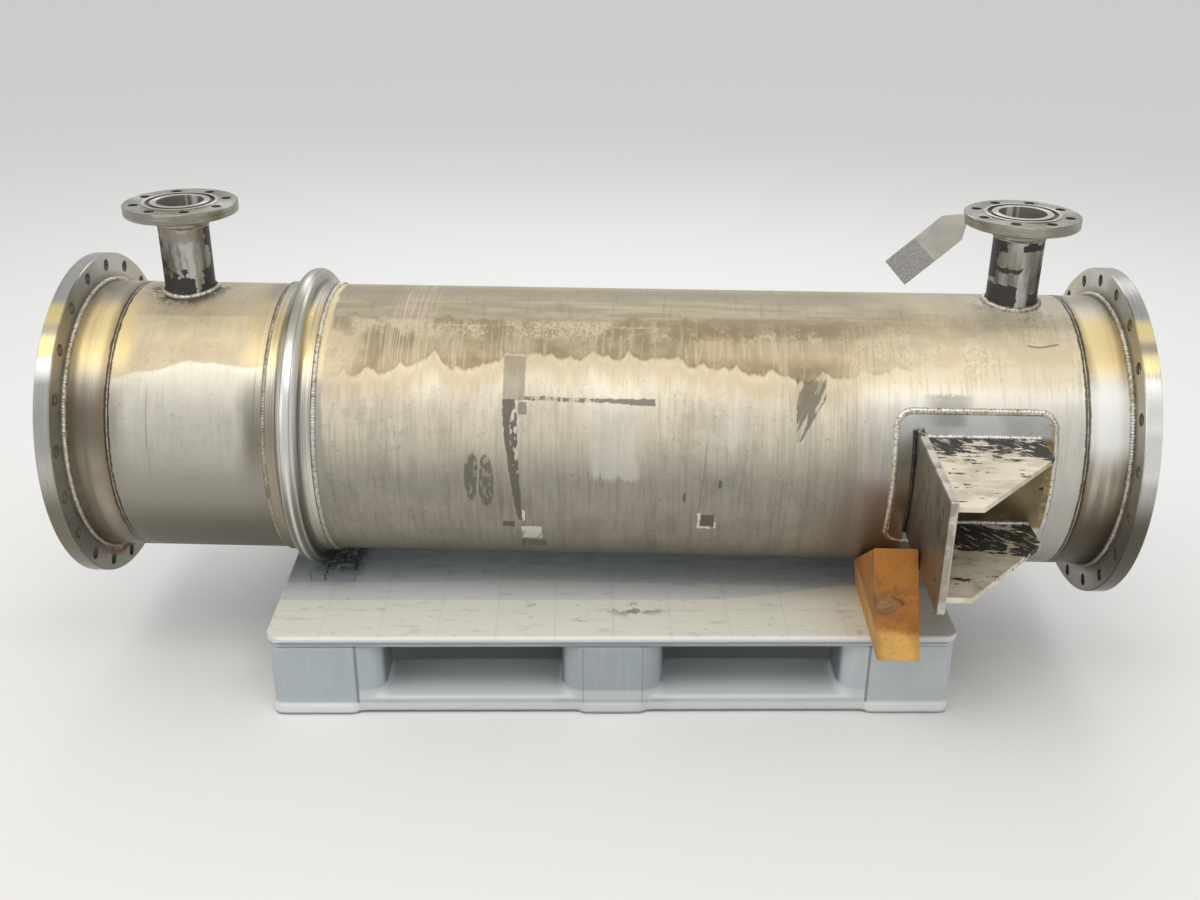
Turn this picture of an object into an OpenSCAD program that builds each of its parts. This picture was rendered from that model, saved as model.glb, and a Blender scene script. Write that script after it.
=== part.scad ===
// Shell and tube heat exchanger with fixed tubesheets and one expansion bellows.
// It lies on a plastic pallet: the bellows crest rests on the deck at one end and
// two timber wedges hold the shell at the other.
// X runs along the shell, Y points away from the front, Z is up. The origin is on
// the floor, under the middle of the shell.

/* [Shell] */
// Length from the rim of one tubesheet to the rim of the other
rim_to_rim = 1888; // [1750:1:2400]
// Outside diameter of the shell
shell_od = 500; // [470:1:520]
// Wall of the shell courses and end rings
shell_wall = 5; // [3:0.5:8]
// Length of the short ring welded to each tubesheet
end_ring_length = 76.5; // [65:0.5:85]
// Depth of the groove left where an end ring meets its course
seam_depth = 1.5; // [0.5:0.5:2]
// Leg of the fillet weld between end ring and tubesheet
end_weld_leg = 11; // [6:0.5:16]

/* [Tubesheets] */
// Outside diameter of the tubesheet rim
tubesheet_od = 604; // [598:1:640]
// Thickness of the tubesheet at its rim
tubesheet_thickness = 28; // [20:1:40]
// Width left between the raised gasket face and the rim bolt holes
gasket_face_margin = 8; // [4:0.5:12]
// Height of the raised gasket face
gasket_face_height = 2; // [1:0.5:3]
// Number of bolt holes in the rim
rim_bolt_count = 20; // [12:2:24]
// Distance from the edge of the rim to the centres of the rim bolt holes
rim_bolt_edge = 21; // [18:0.5:24]
// Diameter of a rim bolt hole
rim_bolt_hole = 22; // [16:1:24]
// Chamfer on the edges of the rim
rim_chamfer = 1.5; // [0.5:0.5:3]

/* [Tubes] */
// Outside diameter of a tube
tube_od = 25; // [20:0.5:26]
// Wall of a tube
tube_wall = 1.5; // [1:0.25:3]
// Centre distance of neighbouring tubes
tube_pitch = 32; // [31:0.5:40]
// Clear width kept between the tube field and the shell's inner face
tube_field_margin = 9; // [5:1:40]
// Depth by which a tube ends inside the gasket face
tube_set_back = 1; // [0.5:0.5:3]

/* [Expansion bellows] */
// Distance of the bellows from the middle of the shell, towards the left end
bellows_offset = 524; // [480:1:560]
// Height of the convolution above the shell
bellows_rise = 29.5; // [27:0.5:40]
// Width of the convolution across its crest
bellows_width = 36; // [26:1:44]
// Wall of the bellows
bellows_wall = 4; // [2.5:0.5:5]
// Radius of the hollow at each foot of the convolution
bellows_foot_radius = 8; // [6:0.5:9]
// Length of the plain sleeve on each side of the convolution
bellows_sleeve = 13; // [8:1:40]
// Width of the weld at the end of each sleeve
bellows_weld_width = 10; // [6:1:14]

/* [Nozzles] */
// Distance of each nozzle from the middle of the shell
nozzle_offset = 745.5; // [700:0.5:755]
// Height of the nozzle face above the shell
nozzle_height = 162; // [120:1:240]
// Outside diameter of the nozzle pipe
nozzle_pipe_od = 88.9; // [80:0.1:96]
// Wall of the nozzle pipe
nozzle_pipe_wall = 3.2; // [2:0.1:5]
// Leg of the weld between pipe and shell
nozzle_weld_leg = 9; // [5:0.5:12]
// Outside diameter of the nozzle flange
nozzle_flange_od = 200; // [195:1:220]
// Thickness of the nozzle flange
nozzle_flange_thickness = 20; // [16:1:26]
// Height of the tapered neck under the flange
nozzle_neck_height = 22; // [14:1:40]
// Diameter of the neck where it meets the flange
nozzle_neck_d = 105; // [98:1:120]
// Number of bolt holes in the nozzle flange
nozzle_bolt_count = 8; // [4:4:8]
// Diameter of the circle of the nozzle bolt holes
nozzle_bolt_circle = 160; // [152:1:164]
// Diameter of a nozzle bolt hole
nozzle_bolt_hole = 18; // [12:1:22]
// Inner diameter of the gasket groove
groove_inner_d = 105; // [100:1:110]
// Outer diameter of the gasket groove
groove_outer_d = 121; // [116:1:126]
// Depth of the gasket groove
groove_depth = 4; // [2:0.5:6]
// Diameter of the raised face
raised_face_d = 134; // [130:1:138]
// Height of the raised face
raised_face_height = 1.5; // [0.5:0.5:3]

/* [Support lugs] */
// Distance of the lug plates from the middle of the shell, towards the right end
lug_offset = 549.5; // [520:0.5:560]
// Reach of a lug plate beyond the shell
lug_reach = 265; // [240:1:300]
// Height of a lug plate
lug_height = 200; // [190:1:210]
// Thickness of a lug plate
lug_thickness = 12; // [8:1:16]
// Corner radius of a lug plate
lug_corner_radius = 8; // [2:1:12]
// Diameter of a fixing hole in a lug plate
lug_hole = 14; // [10:1:20]
// Distance between the two fixing holes
lug_hole_spacing = 120; // [100:1:150]
// Distance of the fixing holes from the free edge
lug_hole_edge = 42; // [25:1:60]
// Length of a gusset along the shell
gusset_length = 200; // [180:1:215]
// Length of the blunt end of a gusset beside the lug plate
gusset_nose = 44; // [30:1:80]
// Width left between the free edges of lug plate and gusset
gusset_set_back = 15; // [8:1:24]
// Width of the gusset's far end beyond the shell
gusset_tail = 67; // [40:1:100]
// Thickness of a gusset
gusset_thickness = 10; // [6:1:14]
// Distance over the outer faces of the two gussets
gusset_spread = 170; // [150:1:180]
// Length of the pad plate along the shell
pad_length = 260; // [245:1:280]
// Height of the pad plate, measured straight across
pad_height = 240; // [220:1:260]
// Thickness of the pad plate
pad_thickness = 6; // [4:0.5:10]
// Corner radius of the pad plate
pad_corner_radius = 22; // [10:1:40]
// Length of pad plate that shows beside the lug plate
pad_margin = 28.5; // [20:0.5:34]
// Width of the weld round the pad plate
pad_weld_width = 7; // [4:0.5:10]
// Diameter of the vent hole in the pad plate
pad_vent = 8; // [5:1:12]

/* [Plate holder] */
// Width of the name plate holder
tag_width = 55; // [40:1:60]
// Width of its neck at the flange
tag_neck_width = 15; // [10:1:18]
// Thickness of its sheet
tag_thickness = 3; // [2:0.5:4]
// Length over which the holder widens from its neck
tag_shoulder = 28; // [15:1:45]
// Length from flange to fold
tag_arm = 74; // [65:1:100]
// Length from fold to free end
tag_blade = 80; // [60:1:110]
// Slope of the holder below level
tag_slope = 43; // [30:1:48]
// Angle at which the holder leans back
tag_lean = 16; // [0:1:20]
// Angle of the fold
tag_fold = 10; // [5:1:25]

/* [Pallet] */
// Length of the pallet
pallet_length = 1234; // [1180:1:1250]
// Width of the pallet
pallet_width = 806; // [780:1:830]
// Height of the pallet
pallet_height = 167; // [150:1:180]
// Height of the deck with its rim
deck_height = 24; // [22:1:40]
// Height of the lip along the top of the rim
deck_lip_height = 14; // [13:1:20]
// Distance by which the lip stands out from the rim
deck_lip_reach = 3; // [1:0.5:5]
// Corner radius of the deck
deck_corner_radius = 32; // [20:1:60]
// Rounding of the deck's edges
deck_edge_radius = 6; // [3:0.5:10]
// Thickness of the deck sheet
deck_sheet = 9; // [6:1:14]
// Width of the solid rim round the deck
deck_rim = 16; // [14:1:30]
// Thickness of the ribs under the deck
deck_rib = 4; // [3:0.5:6]
// Width of a row of feet, across the pallet
foot_row_width = 132; // [110:1:150]
// Length of the middle block of a row of feet
middle_block_length = 124; // [90:1:140]
// Length of the rounded column on each side of the middle block
middle_column_length = 30; // [25:1:50]
// Length of the end blocks of a row of feet
end_block_length = 155; // [130:1:180]
// Length of the rounded column beside each end block
end_column_length = 48; // [35:1:60]
// Distance of the feet inside the deck's edge
foot_inset = 5; // [4:1:15]
// Height of the runner that joins the feet
runner_height = 37; // [30:1:55]
// Distance of the runner above the floor between the feet
runner_lift = 4; // [2:1:8]
// Height of the flared sole of a foot
sole_height = 26; // [14:1:30]
// Angle at which the exchanger lies on the pallet
pallet_turn = 2.55; // [0:0.01:2.6]
// Distance of the pallet's middle from the exchanger's, along the shell
pallet_shift_x = 24; // [0:0.5:40]
// Distance of the pallet's middle from the exchanger's, across the shell
pallet_shift_y = 85.5; // [0:0.5:90]

/* [Wedges] */
// Slope of the face that the shell lies on
wedge_slope = 32.5; // [28:0.5:38]
// Width of a wedge
wedge_width = 73; // [50:1:90]
// Distance of a wedge's thick end from the middle of the shell
wedge_front = 372; // [340:1:395]
// Distance of a wedge's thin end from the middle of the shell
wedge_back = 113; // [100:1:125]
// Angle at which a wedge leans to the left
wedge_lean = 6.5; // [0:0.5:8]
// Clear width between a wedge and the lug plate beside it
wedge_clearance = 0.5; // [0.3:0.1:5]

/* [Hidden] */

$fn = 96;
fine_fn = 192;
tube_fn = 24;
small_fn = 32;
over = 1;
left = -1;
right = 1;
front = -1;
back = 1;

stainless = "#a8a49a";
machined = "#b9b6ae";
bright = "#d0cfc9";
flaked = "#8d8a80";
plastic = "#a7b2ba";
timber = "#c98a43";

shell_r = shell_od / 2;
shell_bore = shell_r - shell_wall;
crest_r = shell_r + bellows_rise;
axis_z = pallet_height + crest_r;
tubesheet_back = rim_to_rim / 2 - tubesheet_thickness;
rim_bolt_circle = tubesheet_od - 2 * rim_bolt_edge;
gasket_face_d = rim_bolt_circle - rim_bolt_hole - 2 * gasket_face_margin;
gasket_face = rim_to_rim / 2 + gasket_face_height;
seam_x = tubesheet_back - end_ring_length;

sleeve_r = shell_r + bellows_wall;
foot_x = bellows_width / 2 + bellows_foot_radius;
sleeve_end = foot_x + bellows_sleeve;

pipe_r = nozzle_pipe_od / 2;
pipe_bore = pipe_r - nozzle_pipe_wall;
nozzle_face_z = axis_z + shell_r + nozzle_height;
flange_underside_z = nozzle_face_z - nozzle_flange_thickness;
pipe_top_z = flange_underside_z - nozzle_neck_height;
neck_straight = 5;
butt_weld_rise = 1.5;
butt_weld_half_width = 4;

pad_r = shell_r + pad_thickness;
pad_left = lug_offset - pad_margin;
gusset_left = lug_offset + lug_thickness;
lug_edge = shell_r + lug_reach;
gusset_edge = lug_edge - gusset_set_back;

deck_z = pallet_height - deck_height;
block_start = pallet_length / 2 - foot_inset - end_block_length;
row_offset = pallet_width / 2 - foot_inset - foot_row_width / 2;
block_radius = 18;
block_inner_radius = 4;
column_radius = 34;
column_set_back = 3;
sole_flare = 6;
runner_set_back = 2;
rib_pitch = 90;

wedge_foot = pallet_height - axis_z;
function wedge_top(y) = (y * sin(wedge_slope) - shell_r) / cos(wedge_slope);

// A shape drawn about Z is laid along the shell, with its base at x.
module along_shell(x) {
    translate([x, 0, axis_z]) rotate([0, 90, 0]) children();
}

// A shape drawn for the right end is mirrored for the left end.
module at_end(side) {
    if (side == left) mirror([1, 0, 0]) children();
    else children();
}

// A shape drawn for the back is mirrored for the front.
module at_flank(side) {
    if (side == front) mirror([0, 1, 0]) children();
    else children();
}

module tube(outer_r, inner_r, length) {
    difference() {
        cylinder(h = length, r = outer_r);
        translate([0, 0, -over]) cylinder(h = length + 2 * over, r = inner_r);
    }
}

module rounded_rect(w, d, r) {
    square([w - 2 * r, d], center = true);
    square([w, d - 2 * r], center = true);
    for (x = [-1, 1], y = [-1, 1])
        translate([x * (w / 2 - r), y * (d / 2 - r)]) circle(r = r, $fn = small_fn);
}

// A slab with rounded corners and rounded upper and lower edges.
module soft_slab(w, d, h, corner, r) {
    intersection() {
        linear_extrude(h) rounded_rect(w, d, corner);
        translate([-w / 2 - over, 0, h / 2]) rotate([90, 0, 90])
            linear_extrude(w + 2 * over) rounded_rect(d, h, r);
        translate([0, d / 2 + over, h / 2]) rotate([90, 0, 0])
            linear_extrude(d + 2 * over) rounded_rect(w, h, r);
    }
}

// The plain nozzle hole through a shell course.
module nozzle_hole(side) {
    translate([side * nozzle_offset, 0, axis_z]) cylinder(h = shell_r + over, r = pipe_r);
}

// A length of shell from x1 to x2, with a groove edge at the end that meets its neighbour.
module shell_length(x1, x2, groove_at) {
    difference() {
        along_shell(x1) tube(shell_r, shell_bore, x2 - x1);
        along_shell(groove_at) rotate_extrude() polygon([
            [shell_r - seam_depth, 0], [shell_r + over, -seam_depth - over],
            [shell_r + over, seam_depth + over]
        ]);
    }
}

module shell_course_left() {
    color(stainless) difference() {
        shell_length(-seam_x, -bellows_offset - bellows_width / 2, -seam_x);
        nozzle_hole(left);
    }
}

module shell_course_right() {
    color(stainless) difference() {
        shell_length(-bellows_offset + bellows_width / 2, seam_x, seam_x);
        nozzle_hole(right);
    }
}

module end_ring(side) {
    color(stainless) at_end(side) shell_length(seam_x, tubesheet_back, seam_x);
}

// Half section of the convolution, filled down to the axis.
module convolution(base_r, half_width, foot) {
    crest_c = crest_r - bellows_width / 2;
    foot_c = base_r + foot;
    reach = half_width + foot;
    translate([0, -sleeve_end]) square([base_r, 2 * sleeve_end]);
    translate([0, -half_width]) square([crest_c, 2 * half_width]);
    translate([crest_c, 0]) circle(r = half_width);
    difference() {
        translate([0, -reach]) square([foot_c, 2 * reach]);
        for (s = [-1, 1]) translate([foot_c, s * reach]) circle(r = foot);
    }
}

module expansion_bellows() {
    color(bright) along_shell(-bellows_offset) rotate_extrude() intersection() {
        difference() {
            convolution(sleeve_r, bellows_width / 2, bellows_foot_radius);
            convolution(shell_r, bellows_width / 2 - bellows_wall, bellows_foot_radius + bellows_wall);
        }
        translate([shell_r, -sleeve_end]) square([bellows_rise + over, 2 * sleeve_end]);
    }
}

module bellows_weld(side) {
    color(bright) along_shell(-bellows_offset) mirror([0, 0, side == left ? 1 : 0])
        translate([0, 0, sleeve_end]) rotate_extrude()
            polygon([[shell_r, 0], [sleeve_r, 0], [shell_r, bellows_weld_width]]);
}

// Tubes stand on a triangular pitch wherever they fit inside the tube field.
tube_field_r = shell_bore - tube_field_margin - tube_od / 2;
tube_row = tube_pitch * sin(60);
tube_rows = floor(tube_field_r / tube_row);
tube_cols = floor(tube_field_r / tube_pitch) + 1;
tube_places = [
    for (j = [-tube_rows:tube_rows], i = [-tube_cols:tube_cols])
        let (y = (i + (j % 2 == 0 ? 0 : 0.5)) * tube_pitch, z = j * tube_row)
            if (norm([y, z]) <= tube_field_r) [z, y]
];

module tube_bundle() {
    color(stainless) along_shell(-gasket_face + tube_set_back) for (p = tube_places)
        translate([p[0], p[1], 0]) difference() {
            cylinder(h = 2 * (gasket_face - tube_set_back), r = tube_od / 2, $fn = tube_fn);
            translate([0, 0, -over]) cylinder(
                h = 2 * (gasket_face - tube_set_back + over), r = tube_od / 2 - tube_wall, $fn = tube_fn
            );
        }
}

module tubesheet(side) {
    color(machined) at_end(side) along_shell(tubesheet_back) difference() {
        union() {
            rotate_extrude() polygon([
                [0, 0], [tubesheet_od / 2 - rim_chamfer, 0], [tubesheet_od / 2, rim_chamfer],
                [tubesheet_od / 2, tubesheet_thickness - rim_chamfer],
                [tubesheet_od / 2 - rim_chamfer, tubesheet_thickness], [0, tubesheet_thickness]
            ]);
            cylinder(h = tubesheet_thickness + gasket_face_height, r = gasket_face_d / 2);
        }
        for (k = [0:rim_bolt_count - 1]) rotate([0, 0, (k + 0.5) * 360 / rim_bolt_count])
            translate([rim_bolt_circle / 2, 0, -over])
                cylinder(h = tubesheet_thickness + 2 * over, r = rim_bolt_hole / 2, $fn = small_fn);
        for (p = tube_places) translate([p[0], p[1], -over]) cylinder(
            h = tubesheet_thickness + gasket_face_height + 2 * over, r = tube_od / 2, $fn = tube_fn
        );
    }
}

module tubesheet_weld(side) {
    color(bright) at_end(side) along_shell(tubesheet_back) rotate_extrude()
        polygon([[shell_r, 0], [shell_r + end_weld_leg, 0], [shell_r, -end_weld_leg]]);
}

module nozzle_pipe(side) {
    color(stainless) at_end(side) difference() {
        translate([nozzle_offset, 0, axis_z]) tube(pipe_r, pipe_bore, pipe_top_z - axis_z);
        along_shell(nozzle_offset - shell_r) cylinder(h = shell_od, r = shell_bore);
    }
}

module nozzle_weld(side) {
    foot_r = pipe_r + nozzle_weld_leg;
    foot_z = axis_z + sqrt(pow(shell_r, 2) - pow(foot_r, 2));
    top_z = axis_z + shell_r + nozzle_weld_leg;
    color(bright) at_end(side) difference() {
        translate([nozzle_offset, 0, foot_z])
            cylinder(h = top_z - foot_z, r1 = foot_r, r2 = pipe_r + butt_weld_rise, $fn = fine_fn);
        translate([nozzle_offset, 0, axis_z]) cylinder(h = top_z, r = pipe_r, $fn = fine_fn);
        along_shell(nozzle_offset - shell_r) cylinder(h = shell_od, r = shell_r, $fn = 2 * fine_fn);
    }
}

module nozzle_butt_weld(side) {
    color(bright) at_end(side) translate([nozzle_offset, 0, pipe_top_z]) rotate_extrude()
        polygon([
            [pipe_r, -butt_weld_half_width], [pipe_r + butt_weld_rise, -butt_weld_half_width / 2],
            [pipe_r + butt_weld_rise, butt_weld_half_width / 2], [pipe_r, butt_weld_half_width]
        ]);
}

module nozzle_flange(side) {
    rim_r = nozzle_flange_od / 2;
    plate_top = nozzle_neck_height + nozzle_flange_thickness - raised_face_height;
    face_top = nozzle_neck_height + nozzle_flange_thickness;
    color(machined) at_end(side) translate([nozzle_offset, 0, pipe_top_z]) difference() {
        union() {
            rotate_extrude() polygon([
                [0, 0], [pipe_r, 0], [pipe_r, neck_straight],
                [nozzle_neck_d / 2, nozzle_neck_height],
                [rim_r - rim_chamfer, nozzle_neck_height], [rim_r, nozzle_neck_height + rim_chamfer],
                [rim_r, plate_top - rim_chamfer], [rim_r - rim_chamfer, plate_top], [0, plate_top]
            ]);
            translate([0, 0, plate_top]) cylinder(h = raised_face_height, r = raised_face_d / 2);
        }
        translate([0, 0, -over]) cylinder(h = face_top + 2 * over, r = pipe_bore);
        translate([0, 0, face_top - groove_depth])
            tube(groove_outer_d / 2, groove_inner_d / 2, groove_depth + over);
        for (k = [0:nozzle_bolt_count - 1]) rotate([0, 0, (k + 0.5) * 360 / nozzle_bolt_count])
            translate([nozzle_bolt_circle / 2, 0, nozzle_neck_height - over]) cylinder(
                h = nozzle_flange_thickness + 2 * over, r = nozzle_bolt_hole / 2, $fn = small_fn
            );
    }
}

// Everything beyond radius r from the shell's axis is kept.
module clear_of_shell(r) {
    difference() {
        children();
        along_shell(lug_offset - shell_od) cylinder(h = 2 * shell_od, r = r);
    }
}

// An outline of the pad plate seen from the side, thrown back on to the shell.
module pad_outline(outer_r, grow) {
    intersection() {
        along_shell(pad_left - over - grow)
            tube(outer_r, shell_r, pad_length + 2 * (over + grow));
        translate([pad_left + pad_length / 2, outer_r, axis_z]) rotate([90, 0, 0])
            linear_extrude(outer_r) rounded_rect(
                pad_length + 2 * grow, pad_height + 2 * grow, pad_corner_radius + grow
            );
    }
}

module vent_hole(side) {
    vent_x = (gusset_left + gusset_length + pad_left + pad_length) / 2 - pad_vent / 2;
    at_flank(side) translate([vent_x, pad_r + over, axis_z]) rotate([90, 0, 0])
        cylinder(h = pad_thickness + 2 * over, r = pad_vent / 2, $fn = small_fn);
}

module lug_pad(side) {
    color(stainless) difference() {
        at_flank(side) pad_outline(pad_r, 0);
        vent_hole(side);
    }
}

module lug_pad_weld(side) {
    color(bright) at_flank(side) difference() {
        pad_outline(pad_r - over, pad_weld_width);
        translate([pad_left + pad_length / 2, pad_r + over, axis_z]) rotate([90, 0, 0])
            linear_extrude(pad_r + 2 * over) rounded_rect(pad_length, pad_height, pad_corner_radius);
    }
}

module lug_plate(side) {
    color(stainless) at_flank(side) clear_of_shell(pad_r) translate([lug_offset, 0, axis_z])
        rotate([0, 90, 0]) linear_extrude(lug_thickness) difference() {
            translate([0, lug_edge / 2]) rounded_rect(lug_height, lug_edge, lug_corner_radius);
            for (s = [-1, 1]) translate([s * lug_hole_spacing / 2, lug_edge - lug_hole_edge])
                circle(r = lug_hole / 2, $fn = small_fn);
        }
}

module lug_gusset(side, level) {
    base_z = level * (gusset_spread - gusset_thickness) / 2 - gusset_thickness / 2;
    color(flaked) at_flank(side) clear_of_shell(pad_r) translate([gusset_left, 0, axis_z + base_z])
        linear_extrude(gusset_thickness) polygon([
            [0, 0], [gusset_length, 0], [gusset_length, shell_r + gusset_tail],
            [gusset_nose, gusset_edge], [0, gusset_edge]
        ]);
}

module plate_holder() {
    rim_x = nozzle_offset - nozzle_flange_od / 2;
    color(machined)
        translate([rim_x, 0, flange_underside_z + nozzle_flange_thickness / 2])
            rotate([0, -tag_slope, 0]) mirror([1, 0, 0]) rotate([-tag_lean, 0, 0]) intersection() {
                linear_extrude(tag_width, center = true) {
                    translate([0, -tag_thickness / 2]) square([tag_arm, tag_thickness]);
                    translate([tag_arm, 0]) {
                        circle(r = tag_thickness / 2, $fn = small_fn);
                        rotate(tag_fold) translate([0, -tag_thickness / 2])
                            square([tag_blade, tag_thickness]);
                    }
                }
                rotate([90, 0, 0]) linear_extrude(tag_blade, center = true) polygon([
                    [0, -tag_neck_width / 2], [tag_shoulder, -tag_width / 2],
                    [tag_arm + tag_blade, -tag_width / 2], [tag_arm + tag_blade, tag_width / 2],
                    [tag_shoulder, tag_width / 2], [0, tag_neck_width / 2]
                ]);
            }
}

// The pallet is drawn about its own middle and turned under the shell.
module on_pallet() {
    translate([pallet_shift_x, pallet_shift_y, 0]) rotate([0, 0, pallet_turn]) children();
}

module pallet_deck() {
    inner_l = pallet_length - 2 * deck_rim;
    inner_w = pallet_width - 2 * deck_rim;
    long_ribs = floor(inner_l / 2 / rib_pitch);
    cross_ribs = floor(inner_w / 2 / rib_pitch);
    rib_height = deck_height - deck_sheet;
    color(plastic) on_pallet() translate([0, 0, deck_z]) {
        difference() {
            union() {
                translate([0, 0, deck_height - deck_lip_height]) soft_slab(
                    pallet_length, pallet_width, deck_lip_height, deck_corner_radius, deck_edge_radius
                );
                soft_slab(
                    pallet_length - 2 * deck_lip_reach, pallet_width - 2 * deck_lip_reach, deck_height,
                    deck_corner_radius - deck_lip_reach, deck_edge_radius
                );
            }
            translate([0, 0, -over]) linear_extrude(rib_height + over)
                rounded_rect(inner_l, inner_w, deck_corner_radius - deck_rim / 2);
        }
        for (i = [-long_ribs:long_ribs]) translate([i * rib_pitch - deck_rib / 2, -inner_w / 2 - over, 0])
            cube([deck_rib, inner_w + 2 * over, rib_height + over]);
        for (j = [-cross_ribs:cross_ribs]) translate([-inner_l / 2 - over, j * rib_pitch - deck_rib / 2, 0])
            cube([inner_l + 2 * over, deck_rib, rib_height + over]);
    }
}

// A block with a flared sole, and on each side where joined is true a rounded column of column_length.
module foot(length, joined, column_length) {
    span_min = -length / 2 - (joined[0] ? column_length : 0);
    span_max = length / 2 + (joined[1] ? column_length : 0);
    translate([0, 0, sole_height / 2]) linear_extrude(deck_z - sole_height / 2) {
        rounded_rect(length, foot_row_width, block_radius);
        for (i = [0, 1]) if (joined[i]) translate([(i - 0.5) * length / 2, 0])
            rounded_rect(length / 2, foot_row_width, block_inner_radius);
    }
    translate([(span_min + span_max) / 2, 0, runner_lift]) linear_extrude(deck_z - runner_lift)
        rounded_rect(span_max - span_min, foot_row_width - 2 * column_set_back, column_radius);
    soft_slab(
        length + sole_flare, foot_row_width + sole_flare, sole_height,
        block_radius + sole_flare / 2, deck_edge_radius
    );
}

module pallet_feet(row) {
    end_x = block_start + end_block_length / 2;
    color(plastic) on_pallet() translate([0, row * row_offset, 0]) {
        foot(middle_block_length, [true, true], middle_column_length);
        translate([-end_x, 0, 0]) foot(end_block_length, [false, true], end_column_length);
        translate([end_x, 0, 0]) foot(end_block_length, [true, false], end_column_length);
        translate([0, 0, runner_lift]) soft_slab(
            2 * block_start + end_block_length, foot_row_width - 2 * runner_set_back,
            runner_height - runner_lift, block_radius, deck_edge_radius
        );
    }
}

module wedge(side) {
    lean = tan(wedge_lean);
    face_x = lug_offset - wedge_clearance;
    lug_foot = -lug_height / 2;
    drop = lug_foot - wedge_foot;
    color(timber) at_flank(side) intersection() {
        translate([face_x - 2 * wedge_width, 0, axis_z]) rotate([90, 0, 90])
            linear_extrude(4 * wedge_width) polygon([
                [wedge_back, wedge_foot], [wedge_front, wedge_foot],
                [wedge_front, wedge_top(wedge_front)], [wedge_back, wedge_top(wedge_back)]
            ]);
        translate([face_x + lean * drop, 0, pallet_height]) rotate([0, -wedge_lean, 0])
            translate([-wedge_width * cos(wedge_lean), 0, -crest_r])
                cube([wedge_width * cos(wedge_lean), wedge_front + over, 2 * crest_r]);
    }
}

shell_course_left();
shell_course_right();
end_ring(left);  // end_ring_left
end_ring(right);  // end_ring_right
expansion_bellows();
bellows_weld(left);  // bellows_weld_left
bellows_weld(right);  // bellows_weld_right
tubesheet(left);  // tubesheet_left
tubesheet(right);  // tubesheet_right
tubesheet_weld(left);  // tubesheet_weld_left
tubesheet_weld(right);  // tubesheet_weld_right
tube_bundle();
nozzle_pipe(left);  // nozzle_pipe_left
nozzle_flange(left);  // nozzle_flange_left
nozzle_weld(left);  // nozzle_weld_left
nozzle_butt_weld(left);  // nozzle_butt_weld_left
nozzle_pipe(right);  // nozzle_pipe_right
nozzle_flange(right);  // nozzle_flange_right
nozzle_weld(right);  // nozzle_weld_right
nozzle_butt_weld(right);  // nozzle_butt_weld_right
lug_pad(front);  // lug_pad_front
lug_pad_weld(front);  // lug_pad_weld_front
lug_plate(front);  // lug_plate_front
lug_gusset(front, 1);  // lug_gusset_upper_front
lug_gusset(front, -1);  // lug_gusset_lower_front
lug_pad(back);  // lug_pad_back
lug_pad_weld(back);  // lug_pad_weld_back
lug_plate(back);  // lug_plate_back
lug_gusset(back, 1);  // lug_gusset_upper_back
lug_gusset(back, -1);  // lug_gusset_lower_back
plate_holder();
pallet_deck();
pallet_feet(front);  // pallet_feet_front
pallet_feet(0);  // pallet_feet_middle
pallet_feet(back);  // pallet_feet_back
wedge(front);  // wedge_front
wedge(back);  // wedge_back
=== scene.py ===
# %% [markdown]
# # A shell and tube heat exchanger on its pallet
#
# The CAD model gives every size. This lesson dresses it: it keeps the plain turned and
# sawn solids, puts rippled weld beads where the model has plain fillets, softens the
# moulded and flame-cut parts, and gives each surface a finish made of nodes. Nothing
# here moves a part, so every piece is built in metres where the CAD says it is.

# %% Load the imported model
from math import cos, hypot, pi, radians, sin, sqrt

import bmesh
import bpy
from mathutils import Matrix, Vector


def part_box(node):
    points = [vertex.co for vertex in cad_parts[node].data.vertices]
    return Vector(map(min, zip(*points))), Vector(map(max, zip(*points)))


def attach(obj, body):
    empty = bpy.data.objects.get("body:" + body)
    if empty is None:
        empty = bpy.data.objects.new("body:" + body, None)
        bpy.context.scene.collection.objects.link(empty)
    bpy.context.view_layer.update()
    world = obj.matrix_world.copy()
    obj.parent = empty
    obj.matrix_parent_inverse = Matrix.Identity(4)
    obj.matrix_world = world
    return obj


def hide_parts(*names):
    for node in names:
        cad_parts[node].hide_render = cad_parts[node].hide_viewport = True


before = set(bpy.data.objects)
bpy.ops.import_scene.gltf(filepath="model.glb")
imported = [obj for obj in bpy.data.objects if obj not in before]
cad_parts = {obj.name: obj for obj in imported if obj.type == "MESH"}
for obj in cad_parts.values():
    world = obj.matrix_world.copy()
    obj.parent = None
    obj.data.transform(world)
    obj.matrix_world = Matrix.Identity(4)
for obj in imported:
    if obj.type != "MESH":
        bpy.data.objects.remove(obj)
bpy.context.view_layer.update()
scene = bpy.context.scene

# %% [markdown]
# ## Sizes
#
# A node's box is enough to find its size and place, because each solid here is turned,
# drilled or cut square to the axes. Reading them from the frame keeps the beads and the
# painted marks on their parts if a size in the CAD changes.


# %% Sizes read from the frame
def corners(node):
    """Lowest and highest corner of a CAD node, as vectors."""
    low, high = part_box(node)
    return Vector(low), Vector(high)


ring_low, ring_high = corners("end_ring_right")
sheet_low, sheet_high = corners("tubesheet_right")
bellows_low, bellows_high = corners("expansion_bellows")
flange_low, flange_high = corners("nozzle_flange_right")
pipe_low, pipe_high = corners("nozzle_pipe_right")
pad_low, pad_high = corners("lug_pad_front")
plate_low, plate_high = corners("lug_plate_front")

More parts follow.
